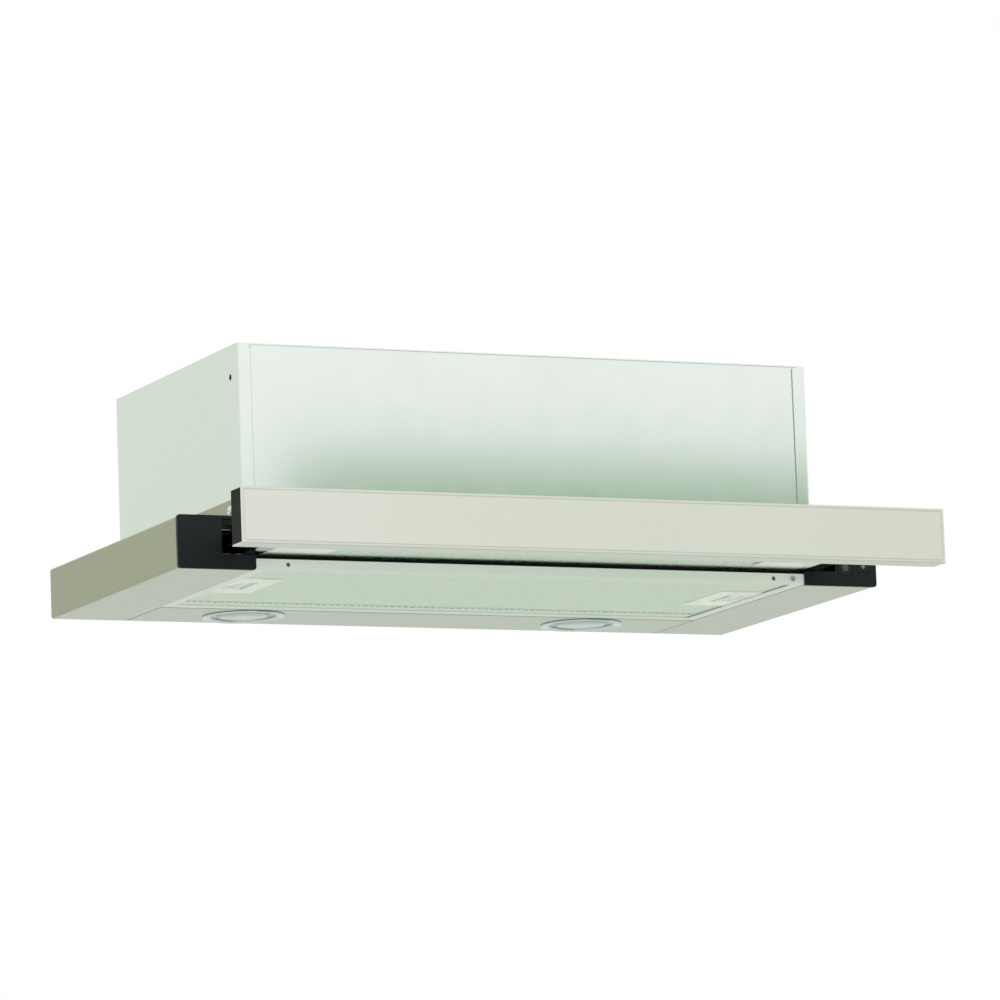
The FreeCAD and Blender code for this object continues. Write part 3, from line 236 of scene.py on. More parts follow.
CARD_LEFT = 0.12
CARD_RIGHT = 2.6
CARD_TOP = 0.235
CARD_DISTANCE = -1.08
CARD_BOTTOM = FLOOR_HEIGHT


def add_card():
    """Stand a grey-green card in front, which only mirrors see."""
    bpy.ops.mesh.primitive_plane_add(size=1)
    card = bpy.context.object
    card.name = "studio_card"
    corners = [
        (CARD_LEFT, CARD_DISTANCE, CARD_BOTTOM),
        (CARD_RIGHT, CARD_DISTANCE, CARD_BOTTOM),
        (CARD_LEFT, CARD_DISTANCE, CARD_TOP),
        (CARD_RIGHT, CARD_DISTANCE, CARD_TOP),
    ]
    for point, corner in zip(card.data.vertices, corners):
        point.co = corner
    paint = bpy.data.materials.new("studio_card_paint")
    paint.use_nodes = True
    shader = paint.node_tree.nodes["Principled BSDF"]
    shader.inputs["Base Color"].default_value = shade(150, 184, 152)
    shader.inputs["Roughness"].default_value = 1
    card.data.materials.append(paint)
    card.visible_camera = False
    card.visible_shadow = False
    card.visible_diffuse = False
    return card


add_card()
print("card from", CARD_LEFT, "to", CARD_RIGHT)

# %% [markdown]
# ## Finishes
#
# Each finish is a small node tree, and all of them share a few helpers: a noise that is fixed to the part,
# so that it doesn't swim when the drawer moves, a range that turns the noise into a value, a blend of two
# colours and a bump. Brushed metal is the same noise pulled out long in the direction of the brush.


# %% Finish helpers
NOISE_LOW = 0.3
NOISE_HIGH = 0.7
MIX_FIRST_COLOR = 6
MIX_SECOND_COLOR = 7
MIX_COLOR_RESULT = 2


def new_finish(name, color, metallic=0.0, roughness=0.5):
    """Start a finish with a plain shader."""
    finish = bpy.data.materials.new(name)
    finish.use_nodes = True
    shader = finish.node_tree.nodes["Principled BSDF"]
    shader.inputs["Base Color"].default_value = color
    shader.inputs["Metallic"].default_value = metallic
    shader.inputs["Roughness"].default_value = roughness
    return finish


def shader_of(finish):
    """Find the finish's shader."""
    return finish.node_tree.nodes["Principled BSDF"]


def feed(finish, output, socket):
    """Link an output into one of the shader's sockets."""
    finish.node_tree.links.new(output, shader_of(finish).inputs[socket])


def part_noise(finish, stretch, detail=3):
    """Add a noise in the part's own coordinates; a large stretch along an axis makes it fine there."""
    tree = finish.node_tree
    coordinates = tree.nodes.new("ShaderNodeTexCoord")
    mapping = tree.nodes.new("ShaderNodeMapping")
    noise = tree.nodes.new("ShaderNodeTexNoise")
    mapping.inputs["Scale"].default_value = stretch
    noise.inputs["Scale"].default_value = 1
    noise.inputs["Detail"].default_value = detail
    tree.links.new(coordinates.outputs["Object"], mapping.inputs["Vector"])
    tree.links.new(mapping.outputs["Vector"], noise.inputs["Vector"])
    return noise.outputs["Fac"]


def spread(finish, factor, low, high):
    """Spread a noise's middle range, where nearly all of it lies, over low to high."""
    tree = finish.node_tree
    span = tree.nodes.new("ShaderNodeMapRange")
    span.inputs["From Min"].default_value = NOISE_LOW
    span.inputs["From Max"].default_value = NOISE_HIGH
    span.inputs["To Min"].default_value = low
    span.inputs["To Max"].default_value = high
    tree.links.new(factor, span.inputs["Value"])
    return span.outputs["Result"]


def blend_colors(finish, factor, first, second):
    """Blend two colours, or two outputs, by a factor."""
    tree = finish.node_tree
    mix = tree.nodes.new("ShaderNodeMix")
    mix.data_type = "RGBA"
    tree.links.new(factor, mix.inputs["Factor"])
    for place, value in ((MIX_FIRST_COLOR, first), (MIX_SECOND_COLOR, second)):
        socket = mix.inputs[place]
        if isinstance(value, tuple):
            socket.default_value = value
        else:
            tree.links.new(value, socket)
    return mix.outputs[MIX_COLOR_RESULT]


def add_bump(finish, height, depth, strength=1.0):
    """Press a height into the surface, with a depth in metres."""
    tree = finish.node_tree
    bump = tree.nodes.new("ShaderNodeBump")
    bump.inputs["Strength"].default_value = strength
    bump.inputs["Distance"].default_value = depth
    tree.links.new(height, bump.inputs["Height"])
    feed(finish, bump.outputs["Normal"], "Normal")
    return bump


def soften_edges(finish, radius, bump=None):
    """Round sharp edges in the shading only, under any bump."""
    tree = finish.node_tree
    bevel = tree.nodes.new("ShaderNodeBevel")
    bevel.samples = 4
    bevel.inputs["Radius"].default_value = radius
    target = bump.inputs["Normal"] if bump else shader_of(finish).inputs["Normal"]
    tree.links.new(bevel.outputs["Normal"], target)


def facing(finish, axis):
    """Say how much a surface faces along an axis of the part, from 0 to 1."""
    tree = finish.node_tree
    coordinates = tree.nodes.new("ShaderNodeTexCoord")
    split = tree.nodes.new("ShaderNodeSeparateXYZ")
    amount = tree.nodes.new("ShaderNodeMath")
    amount.operation = "ABSOLUTE"
    tree.links.new(coordinates.outputs["Normal"], split.inputs["Vector"])
    tree.links.new(split.outputs[axis], amount.inputs[0])
    return amount.outputs["Value"]


def darker(color, share):
    """Scale a colour's light."""
    return (*(part * share for part in color[:3]), 1)


def wear(finish, color, share=0.94, stretch=(9, 9, 9)):
    """Vary a colour softly over the part, as handling and light dust do."""
    factor = spread(finish, part_noise(finish, stretch, 2), 0, 1)
    return blend_colors(finish, factor, color, darker(color, share))


# %% [markdown]
# The casing is galvanised sheet with a satin coat. Up close it has a faint grain, and it mirrors the room
# softly. Its faces that look along x, the sides, are given a darker colour as painted shade.


# %% Casing steel
def casing_steel():
    """Make the casing's satin metal, with painted shade on its faces along x."""
    color = shade(236, 243, 237)
    finish = new_finish("casing_steel", color, 0.85, 0.15)
    grain = part_noise(finish, (900, 900, 900), 2)
    # Faces along x, the sides, get a darker colour here: painted shade.
    tone = blend_colors(finish, facing(finish, "X"), wear(finish, color, 0.98), shade(206, 219, 204))
    feed(finish, tone, "Base Color")
    feed(finish, spread(finish, part_noise(finish, (40, 40, 40), 3), 0.14, 0.18), "Roughness")
    add_bump(finish, grain, 0.00002, 0.25)
    return finish


# %% [markdown]
# The rails and the lamp panel are brushed stainless steel with a warm tone. The brush runs along each part,
# so the noise is stretched along y for the rails and along x for the panel. Where a share is given, as for
# the rails, walls that face along x get a darker copy of the colour: painted shade. The surface's own
# normal picks them out.


# %% Brushed steel
def brushed_steel(name, color, along, side_shade_share=None, roughness=(0.30, 0.40)):
    """Make brushed steel whose lines run along x or y, and paint shade on faces along x if a share is given."""
    finish = new_finish(name, color, 0.9, 0.35)
    fine = 1400
    long = 12
    stretch = (long, fine, fine) if along == "x" else (fine, long, fine)
    lines = part_noise(finish, stretch, 4)
    tone = blend_colors(finish, spread(finish, lines, 0, 1), color, darker(color, 0.93))
    # Faces along x get a darker copy of the colour: painted shade.
    if side_shade_share:
        side_shade_mask = facing(finish, "X")
        side_shade_color = tuple(part * share for part, share in zip(color[:3], side_shade_share)) + (1,)
        tone = blend_colors(finish, side_shade_mask, tone, side_shade_color)
    feed(finish, tone, "Base Color")
    feed(finish, spread(finish, lines, *roughness), "Roughness")
    add_bump(finish, lines, 0.00003, 0.3)
    return finish


# %% [markdown]
# Painted and moulded parts differ in gloss and in grain: white enamel on the filter's frame, a smooth cream
# coat on the fascia, and black plastic with a fine grain on the ends.


# %% Paint and plastic
def satin_paint(name, color, roughness=0.35, coat=0.25, level_face_shade=None):
    """Make smooth paint with a thin clear coat, and painted shade on faces along z if a colour is given."""
    finish = new_finish(name, color, 0, roughness)
    shader = shader_of(finish)
    shader.inputs["Coat Weight"].default_value = coat
    shader.inputs["Coat Roughness"].default_value = 0.15
    tone = wear(finish, color, 0.985)
    # Faces that look up or down get the given darker colour: painted shade.
    if level_face_shade:
        tone = blend_colors(finish, facing(finish, "Z"), tone, level_face_shade)
    feed(finish, tone, "Base Color")
    bump = add_bump(finish, part_noise(finish, (260, 260, 260), 2), 0.00004, 0.15)
    soften_edges(finish, 0.0004, bump)
    return finish


def moulded_plastic(name, color, roughness=(0.38, 0.5), grain=0.4, side_painted_light=None, specular=0.5):
    """Make moulded plastic with the fine grain of a spark-eroded mould, and painted light on faces along x if
    given.
    """
    finish = new_finish(name, color, 0, 0.45)
    shader_of(finish).inputs["Specular IOR Level"].default_value = specular
    tone = wear(finish, color, 0.85, (30, 30, 30))
    # Faces along x get the given side colour: painted light.
    if side_painted_light:
        tone = blend_colors(finish, facing(finish, "X"), tone, side_painted_light)
    feed(finish, tone, "Base Color")
    feed(finish, spread(finish, part_noise(finish, (60, 60, 60), 3), *roughness), "Roughness")
    bump = add_bump(finish, part_noise(finish, (2600, 2600, 2600), 2), 0.00005, grain)
    soften_edges(finish, 0.0005, bump)
    return finish


def plated_metal(name, color, roughness=(0.2, 0.35), metallic=1.0, cloudy=0.85):
    """Make zinc-plated or cast metal, with its slightly cloudy shine."""
    finish = new_finish(name, color, metallic, 0.3)
    cloud = part_noise(finish, (120, 120, 120), 4)
    tone = blend_colors(finish, spread(finish, cloud, 0, 1), color, darker(color, cloudy))
    feed(finish, tone, "Base Color")
    feed(finish, spread(finish, cloud, *roughness), "Roughness")
    bump = add_bump(finish, part_noise(finish, (700, 700, 700), 2), 0.00002, 0.2)
    soften_edges(finish, 0.0003, bump)
    return finish


def frosted_glass():
    """Make the lamps' frosted glass, lit by what is in front of it."""
    color = shade(212, 229, 212)
    finish = new_finish("lens_glass", color, 0, 0.22)
    shader = shader_of(finish)
    shader.inputs["Transmission Weight"].default_value = 0.35
    shader.inputs["IOR"].default_value = 1.5
    feed(finish, wear(finish, color, 0.93, (60, 60, 60)), "Base Color")
    add_bump(finish, part_noise(finish, (900, 900, 900), 2), 0.00005, 0.3)
    return finish


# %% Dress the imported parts
WARM_STEEL = shade(190, 199, 180)
finishes = {
    "casing_steel": casing_steel(),
    # The rail's share paints shade on the outer walls that face along x.
    "rail_steel": brushed_steel("rail_steel", WARM_STEEL, "y", (0.60, 0.59, 0.47)),
    "panel_steel": brushed_steel("panel_steel", shade(189, 201, 181), "x"),
    # The last colour here is painted shade on faces that look up or down.
    "white_enamel": satin_paint("white_enamel", shade(243, 252, 243), 0.4, 0.1, shade(208, 220, 205)),
    "black_plastic": moulded_plastic("black_plastic", shade(15, 21, 22), specular=0.35),
    # The side colour is painted light on faces along x, a little lighter than the black.
    "cap_plastic": moulded_plastic(
        "cap_plastic", shade(17, 21, 20), side_painted_light=shade(22, 28, 20), specular=0.04
    ),
    # The last colour here is painted shade on the fascia's faces that look up or down.
    "fascia_steel": satin_paint("fascia_steel", shade(218, 221, 208), 0.32, 0.3, shade(176, 188, 166)),
    "zinc_steel": plated_metal("zinc_steel", shade(128, 134, 130)),
    "arm_steel": plated_metal("arm_steel", shade(196, 204, 194), (0.06, 0.12)),
    "screw_steel": plated_metal("screw_steel", shade(232, 236, 228), (0.2, 0.3)),
    "ball_steel": plated_metal("ball_steel", shade(225, 228, 226), (0.05, 0.1)),
    "cage_plastic": moulded_plastic("cage_plastic", shade(120, 124, 120)),
    "filter_aluminium": plated_metal("filter_aluminium", shade(213, 229, 208), (0.4, 0.48), 0.4, 0.97),
    "filter_core": plated_metal("filter_core", shade(212, 226, 208), (0.5, 0.6), 0.3, 0.97),
    "sign_paint": satin_paint("sign_paint", shade(164, 172, 166), 0.5, 0),
    "seal_foam": moulded_plastic("seal_foam", shade(12, 16, 17), (0.8, 0.95), 0.6, specular=0.15),
    # A grey-green darker than the casing, for the seam bead: painted seam shadow.
    "seam_shadow_paint": satin_paint("seam_shadow_paint", shade(172, 192, 178), 0.5, 0),
    "latch_plastic": moulded_plastic("latch_plastic", shade(233, 244, 227), (0.35, 0.45), 0.2),
    "bezel_chrome": plated_metal("bezel_chrome", shade(190, 205, 198), (0.12, 0.2), cloudy=0.95),
    "reflector": plated_metal("reflector", shade(138, 154, 144), (0.1, 0.18)),
    "lens_glass": frosted_glass(),
    "lamp_aluminium": plated_metal("lamp_aluminium", shade(190, 195, 192), (0.35, 0.5)),
    "scroll_steel": plated_metal("scroll_steel", shade(196, 203, 198), (0.3, 0.45)),
    "wheel_plastic": moulded_plastic("wheel_plastic", shade(40, 43, 43)),
    "motor_steel": satin_paint("motor_steel", shade(96, 100, 100), 0.45, 0.1),
    "duct_plastic": moulded_plastic("duct_plastic", shade(38, 41, 41)),
    "control_plastic": moulded_plastic("control_plastic", shade(20, 25, 26), (0.3, 0.4), 0.2, specular=0.4),
}
OWN_FINISH = {
    "lamp_panel": "panel_steel",
    "fascia_cap_left": "cap_plastic",
    "fascia_cap_right": "cap_plastic",
    "drawer_side_left": "arm_steel",
    "drawer_side_right": "arm_steel",
}


def dress(part, finish):
    """Give a part its finish all over."""
    part.data.materials.clear()
    part.data.materials.append(finish)


slot_of = {entry["node"]: entry["material_slot"] for entry in frame["record"]["subparts"]}
for node, part in nodes.items():
    dress(part, finishes[OWN_FINISH.get(node, slot_of[node])])
print(len(finishes), "finishes")

# %% [markdown]
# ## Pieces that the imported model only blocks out
#
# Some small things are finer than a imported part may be: the expanded metal of the filters, the turned lamp
# rims, the latches with their finger cups and the screws. Each one is modelled here with the same steps
# that we would use by hand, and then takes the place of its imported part. First come the helpers: start
# clean, finish a piece, and pick faces by where they are.


# %% Modelling helpers
SMOOTH_ANGLE = math.radians(35)


def clear_selection():
    """Leave edit mode and deselect everything, so that the next step acts on one piece."""
    if bpy.context.object and bpy.context.object.mode != "OBJECT":
        bpy.ops.object.mode_set(mode="OBJECT")
    bpy.ops.object.select_all(action="DESELECT")


def select_faces(piece, wanted):
    """In edit mode, select just the faces that a test accepts."""
    bpy.ops.mesh.select_mode(type="FACE")
    bpy.ops.mesh.select_all(action="DESELECT")
    mesh = bmesh.from_edit_mesh(piece.data)
    for face in mesh.faces:
        if wanted(face):
            face.select_set(True)
    bmesh.update_edit_mesh(piece.data)


def apply_modifier(piece, kind, **settings):
    """Add a modifier, set it and apply it."""
    modifier = piece.modifiers.new(kind.lower(), kind)
    for name, value in settings.items():
        setattr(modifier, name, value)
    bpy.context.view_layer.objects.active = piece
    bpy.ops.object.modifier_apply(modifier=modifier.name)


def round_edges(piece, width, segments=3):
    """Bevel a piece's sharp edges."""
    apply_modifier(piece, "BEVEL", width=width, segments=segments, limit_method="ANGLE")


def seat(piece, name, body, slot, replaced=()):
    """Name a finished piece, put its place into its mesh, dress it and hang it on its body."""
    clear_selection()
    piece.select_set(True)
    bpy.context.view_layer.objects.active = piece
    bpy.ops.object.transform_apply(location=True, rotation=True, scale=True)
    piece.name = name
    dress(piece, finishes[slot])
    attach(piece, body)
    if replaced:
        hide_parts(*replaced)
    return piece


def block(low, high):
    """Add a box between two corners."""
    clear_selection()
    middle = (low + high) / 2
    bpy.ops.mesh.primitive_cube_add(size=1, location=middle)
    piece = bpy.context.object
    bpy.ops.transform.resize(value=high - low)
    bpy.ops.object.transform_apply(location=True, rotation=True, scale=True)
    return piece


def islands(node):
    """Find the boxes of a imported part's separate solids."""
    mesh = bmesh.new()
    mesh.from_mesh(nodes[node].data)
    bmesh.ops.remove_doubles(mesh, verts=mesh.verts, dist=0.01 * MM)
    left = set(mesh.verts)
    boxes = []
    while left:
        found = [left.pop()]
        for point in found:
            for edge in point.link_edges:
                other = edge.other_vert(point)
                if other in left:
                    left.discard(other)
                    found.append(other)
        low = Vector([min(point.co[axis] for point in found) for axis in range(3)])
        high = Vector([max(point.co[axis] for point in found) for axis in range(3)])
        boxes.append((low, high))
    mesh.free()
    return boxes


# %% [markdown]
# ### Expanded metal
#
# Expanded metal is a sheet that is slit and pulled open into diamonds. We lay a grid, turn it by 45 degrees
# and press it flat into diamonds, trim it to the opening, and inset each diamond twice. The first inset
# leaves the slanted strands, the second gives them depth, and deleting what is inside opens the holes. The
# filter has such a sheet on each side of a stack of finer ones, which stay a plain pale layer.

# %% Expanded metal
STRAND = 0.65 * MM
STRAND_SLOPE = 0.12 * MM
STRAND_DEPTH = 0.35 * MM
STRAND_EDGE = 0.12 * MM


def trim(plane_point, plane_normal):
    """Cut off what lies beyond a plane."""
    bpy.ops.mesh.select_all(action="SELECT")
    bpy.ops.mesh.bisect(plane_co=plane_point, plane_no=plane_normal, clear_outer=True)


def expanded_metal(low, high, level, downwards, diamond, rooms=()):
    """Make one expanded sheet over a rectangle, with its strands' crests at a level."""
    clear_selection()
    middle = (low + high) / 2
    middle.z = level
    reach = (high - low).x / diamond[0] + (high - low).y / diamond[1]
    cells = 2 * math.ceil(reach / 2) + 2
    bpy.ops.mesh.primitive_grid_add(
        x_subdivisions=cells, y_subdivisions=cells, size=cells, location=(0, 0, 0)
    )
    sheet = bpy.context.object
    bpy.ops.object.mode_set(mode="EDIT")
    bpy.ops.mesh.select_all(action="SELECT")
    if downwards:
        bpy.ops.mesh.flip_normals()
    bpy.ops.transform.rotate(value=math.radians(45), orient_axis="Z", center_override=(0, 0, 0))
    diagonal = math.sqrt(2)
    flatten = (diamond[0] / diagonal, diamond[1] / diagonal, 1)
    bpy.ops.transform.resize(value=flatten, center_override=(0, 0, 0))
    bpy.ops.transform.translate(value=middle)
    for corner, normal in ((low, (-1, 0, 0)), (low, (0, -1, 0)), (high, (1, 0, 0)), (high, (0, 1, 0))):
        trim(corner, normal)
    for room in rooms:
        select_faces(sheet, lambda face: all(inside(point.co, room) for point in face.verts))
        bpy.ops.mesh.delete(type="FACE")
    bpy.ops.mesh.select_mode(type="FACE")
    bpy.ops.mesh.select_all(action="SELECT")
    bpy.ops.mesh.inset(thickness=STRAND, depth=-STRAND_SLOPE, use_individual=True)
    bpy.ops.mesh.inset(thickness=STRAND_EDGE, depth=-STRAND_DEPTH, use_individual=True)
    bpy.ops.mesh.delete(type="FACE")
    bpy.ops.object.mode_set(mode="OBJECT")
    return sheet


def inside(point, room):
    """Tell if a point lies over a rectangle."""
    low, high = room
    return low.x < point.x < high.x and low.y < point.y < high.y


def join(pieces):
    """Join pieces into the first one."""
    clear_selection()
    for piece in pieces:
        piece.select_set(True)
    bpy.context.view_layer.objects.active = pieces[0]
    bpy.ops.object.join()
    return bpy.context.object


def layered_filter(name, body, node, diamond, rooms=()):
    """Replace a filter's plain pack: an open sheet on each face of a pale stack."""
    low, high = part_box(node)
    layers = []
    for level, downwards, label in ((low.z, True, "below"), (high.z, False, "above")):
        sheet = expanded_metal(low, high, level, downwards, diamond, rooms)
        layers.append(seat(sheet, name + "_" + label, body, "filter_aluminium", (node,)))
    core_inset = STRAND_SLOPE + STRAND_DEPTH
    core = block(low + Vector((0, 0, core_inset)), high - Vector((0, 0, core_inset)))
    bpy.ops.object.mode_set(mode="EDIT")
    for room in rooms:
        for corner in room:
            for normal in ((1, 0, 0), (0, 1, 0)):
                bpy.ops.mesh.select_all(action="SELECT")
                bpy.ops.mesh.bisect(plane_co=corner, plane_no=normal)
    for room in rooms:
        select_faces(core, lambda face: inside(face.calc_center_median(), room))
        bpy.ops.mesh.delete(type="FACE")
    bpy.ops.object.mode_set(mode="OBJECT")
    layers.append(seat(core, name + "_core", body, "filter_core", (node,)))
    return layers


MAIN_DIAMOND = (6 * MM, 3.4 * MM)
VISOR_DIAMOND = (7 * MM, 4.6 * MM)
latch_rooms = [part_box("latch_housing_" + name) for name, _ in SIDES]
layers = layered_filter("grease_filter_sheet", "grease_filter", "filter_mesh", MAIN_DIAMOND, latch_rooms)
layers += layered_filter("visor_filter_sheet", "drawer", "visor_filter_mesh", VISOR_DIAMOND)
print(len(layers), "filter layers")

# %% [markdown]
# ### Lamps
#
# The lamp's rim and its frosted lens are round, so each is a circle that we extrude ring by ring. The rim
# is rolled at the outside and has a groove where it holds the glass. The lens is a low dome with two
# pressed rings.

# %% Lamps
LAMP_SIDES = 96
LAMP_SMOOTH_ANGLE = math.radians(40)


def turned(centre, rings):
    """Extrude a circle ring by ring: each ring is a radius and a height, in millimetres."""
    clear_selection()
    first_radius, first_height = rings[0]
    start = (centre.x, centre.y, first_height * MM)
    bpy.ops.mesh.primitive_circle_add(vertices=LAMP_SIDES, radius=first_radius * MM, location=start)
    piece = bpy.context.object
    bpy.ops.object.mode_set(mode="EDIT")
    bpy.ops.mesh.select_all(action="SELECT")
    for (radius, height), (next_radius, next_height) in zip(rings, rings[1:]):
        rise = (0, 0, (next_height - height) * MM)
        bpy.ops.mesh.extrude_edges_move(TRANSFORM_OT_translate={"value": rise})
        share = next_radius / radius
        pivot = (centre.x, centre.y, next_height * MM)
        bpy.ops.transform.resize(value=(share, share, 1), center_override=pivot)
    return piece


def finish_turned(piece, closed):
    """Close the last ring if asked, point the faces outwards and smooth them."""
    if closed:
        bpy.ops.mesh.edge_face_add()
    bpy.ops.mesh.select_all(action="SELECT")
    bpy.ops.mesh.remove_doubles(threshold=0.01 * MM)
    bpy.ops.mesh.normals_make_consistent(inside=False)
    bpy.ops.object.mode_set(mode="OBJECT")
    bpy.ops.object.shade_smooth_by_angle(angle=LAMP_SMOOTH_ANGLE)
    return piece


def lamp_rim(name):
    """Turn one lamp's rolled rim. Its rings are counted from its outer edge and from its hole."""
    low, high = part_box("lamp_bezel_" + name)
    outer = (high.x - low.x) / 2 / MM
    lens_low, lens_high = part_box("lamp_lens_" + name)
    hole = (lens_high.x - lens_low.x) / 2 / MM
    rings = [
        (outer - 0.5, -0.02),
        (outer, -0.35),
        (outer, -0.85),
        (outer - 0.35, -1.3),
        (outer - 1.0, -1.48),
        (outer - 1.9, -1.4),
        (outer - 2.5, -1.1),
        (hole + 2.6, -0.75),
        (hole + 2.2, -0.45),
        (hole + 1.5, -0.45),
        (hole + 1.0, -0.9),
        (hole + 0.5, -0.9),
        (hole + 0.15, -0.4),
        (hole + 0.15, -0.02),
        (outer - 0.5, -0.02),
    ]
    rim = finish_turned(turned((low + high) / 2, rings), False)
    return seat(rim, "lamp_rim_" + name, "housing", "bezel_chrome", ("lamp_bezel_" + name,))


def lamp_lens(name):
    """Turn one lamp's glass: a mirror ring round a low dome with a pressed ring in it."""
    low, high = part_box("lamp_lens_" + name)
    radius = (high.x - low.x) / 2 / MM
    dome = radius - 5.6
    ring_shape = [
        (radius, 1.9),
        (radius, -0.1),
        (radius - 0.9, -0.35),
        (radius - 1.6, 0.5),
        (dome + 0.3, 0.9),
        (dome, 1.2),
        (dome, 1.9),
        (radius, 1.9),
    ]
    dome_shape = [
        (dome - 0.1, 1.9),
        (dome - 0.1, 0.6),
        (dome - 0.6, -0.3),
        (dome - 1.6, -0.95),
        (dome - 3.2, -1.2),
        (dome - 3.7, -1.0),
        (dome - 4.5, -1.0),
        (dome - 5.0, -1.25),
        (dome * 0.4, -1.42),
        (dome * 0.1, -1.46),
    ]
    middle = (low + high) / 2
    ring = finish_turned(turned(middle, ring_shape), False)
    seat(ring, "lamp_mirror_" + name, "housing", "reflector", ("lamp_lens_" + name,))
    glass = finish_turned(turned(middle, dome_shape), True)
    return seat(glass, "lamp_glass_" + name, "housing", "lens_glass", ("lamp_lens_" + name,))


for name, _ in SIDES:
    rim = lamp_rim(name)
    glass = lamp_lens(name)
    print(rim.name, len(rim.data.polygons), "faces,", glass.name, len(glass.data.polygons), "faces")

# %% [markdown]
# ### Latches
#
# Each latch is a moulded plate that is flush with the filter. A slider with a finger cup runs in it towards
# the middle, against a spring. We inset the underside of the plate, push the cup's room up into it, and
# bevel what a mould would round.

# %% Latches
PLATE_WALL = 1 * MM
PLATE_ROUND = 0.35 * MM
SLIDER_GAP = 0.3 * MM
SLIDER_TRAVEL = 6 * MM
FIRST_INSET = 1 * MM
GRIP_ROUND = 0.6 * MM
CUP_WALL = 2 * MM
CUP_DEPTH = 2.4 * MM
TONGUE_REACH = 1 * MM
TONGUE_LENGTH = 1.6 * MM
TONGUE_HALF_WIDTH = 8 * MM
TONGUE_HEIGHT = 2 * MM
TONGUE_ROUND = 0.2 * MM


def underside(piece):
    """In edit mode, select the face that looks down at the piece's lowest level."""
    down = -0.9
    level = min(point.co.z for point in piece.data.vertices) + 0.05 * MM
    select_faces(piece, lambda face: face.normal.z < down and face.calc_center_median().z < level)


def stretch_to(piece, low, high):
    """In edit mode, fit the selected rectangle to new corners."""
    mesh = bmesh.from_edit_mesh(piece.data)
    points = [point for point in mesh.verts if point.select]
    middle_x = sum(point.co.x for point in points) / len(points)
    middle_y = sum(point.co.y for point in points) / len(points)
    for point in points:
        point.co.x = low.x if point.co.x < middle_x else high.x
        point.co.y = low.y if point.co.y < middle_y else high.y
    bmesh.update_edit_mesh(piece.data)


def hollow_from_below(piece, low, high, depth):
    """In edit mode, push a rectangle of the underside up into a piece."""
    underside(piece)
    bpy.ops.mesh.inset(thickness=FIRST_INSET)
    stretch_to(piece, low, high)
    bpy.ops.mesh.extrude_region_move(TRANSFORM_OT_translate={"value": (0, 0, depth)})


def latch_plate(name, side):
    """Mould one latch plate round its slider's room."""
    low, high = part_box("latch_housing_" + name)
    slide_low, slide_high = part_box("latch_slider_" + name)
    plate = block(low, high)
    room_low = slide_low.copy()
    room_high = slide_high.copy()
    if side > 0:
        room_low.x = slide_low.x - SLIDER_TRAVEL - SLIDER_GAP
        room_high.x = high.x - PLATE_WALL + SLIDER_GAP
    else:
        room_low.x = low.x + PLATE_WALL - SLIDER_GAP
        room_high.x = slide_high.x + SLIDER_TRAVEL + SLIDER_GAP
    room_low.y -= SLIDER_GAP
    room_high.y += SLIDER_GAP
    bpy.ops.object.mode_set(mode="EDIT")
    hollow_from_below(plate, room_low, room_high, high.z - low.z - PLATE_WALL)
    bpy.ops.object.mode_set(mode="OBJECT")
    round_edges(plate, PLATE_ROUND)
    bpy.ops.object.shade_smooth_by_angle(angle=SMOOTH_ANGLE)
    return seat(plate, "latch_plate_" + name, "grease_filter", "latch_plastic", ("latch_housing_" + name,))


def latch_grip(name, side):
    """Mould one slider: a finger cup with a tongue that points at the carrier's edge."""
    low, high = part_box("latch_slider_" + name)
    grip_low, grip_high = low.copy(), high.copy()
    if side > 0:
        grip_high.x -= TONGUE_REACH
    else:
        grip_low.x += TONGUE_REACH
    grip = block(grip_low, grip_high)
    bpy.ops.object.mode_set(mode="EDIT")
    wall = Vector((CUP_WALL, CUP_WALL, 0))
    hollow_from_below(grip, grip_low + wall, grip_high - wall, CUP_DEPTH)
    bpy.ops.object.mode_set(mode="OBJECT")
    round_edges(grip, GRIP_ROUND)
    middle = (low.y + high.y) / 2
    tongue_low = Vector((low.x, middle - TONGUE_HALF_WIDTH, high.z - TONGUE_HEIGHT))
    tongue_high = Vector((high.x, middle + TONGUE_HALF_WIDTH, high.z))
    if side > 0:
        tongue_low.x = high.x - TONGUE_LENGTH
    else:
        tongue_high.x = low.x + TONGUE_LENGTH
    tongue = block(tongue_low, tongue_high)
    round_edges(tongue, TONGUE_ROUND, 2)
    grip = join([grip, tongue])
    bpy.ops.object.shade_smooth_by_angle(angle=SMOOTH_ANGLE)
    return seat(grip, "latch_grip_" + name, name + "_latch", "latch_plastic", ("latch_slider_" + name,))


for name, side in SIDES:
    plate = latch_plate(name, side)
    grip = latch_grip(name, side)
    print(plate.name, len(plate.data.polygons), "faces,", grip.name, len(grip.data.polygons), "faces")

# %% [markdown]
# ### Seals and lips
#
# A strip of dark foam lies on the carrier's front bar and closes the gap under the drawer. A second one
# closes the gap behind the casing, and a thin plug closes the open rear end of each rail. Behind the filter
# the carrier's sheet is folded up into a thin lip, and a bead of sealant fills the seam where each casing
# side laps over the front panel; the bead is coloured darker than the casing as painted seam shadow. We could
# draw these as curves with a profile, but all of them are straight, so a box with rounded edges is enough.

# %% Seals and lips
FOAM_HEIGHT = 2.4 * MM
FOAM_DEPTH = 3 * MM
FOAM_SIDE_GAP = 1 * MM
FOAM_INSET = 0.3 * MM
FOAM_PLAY = 0.1 * MM
PLUG_THICKNESS = 1.5 * MM
PLUG_INSET = 1 * MM
PLUG_SIDE_GAP = 0.5 * MM
PLUG_PLAY = 1.2 * MM
CARRIER_SHEET = 1 * MM
LIP = 0.4 * MM
LIP_HEIGHT = 6 * MM
LIP_GAP = 0.5 * MM
BEAD = 0.5 * MM


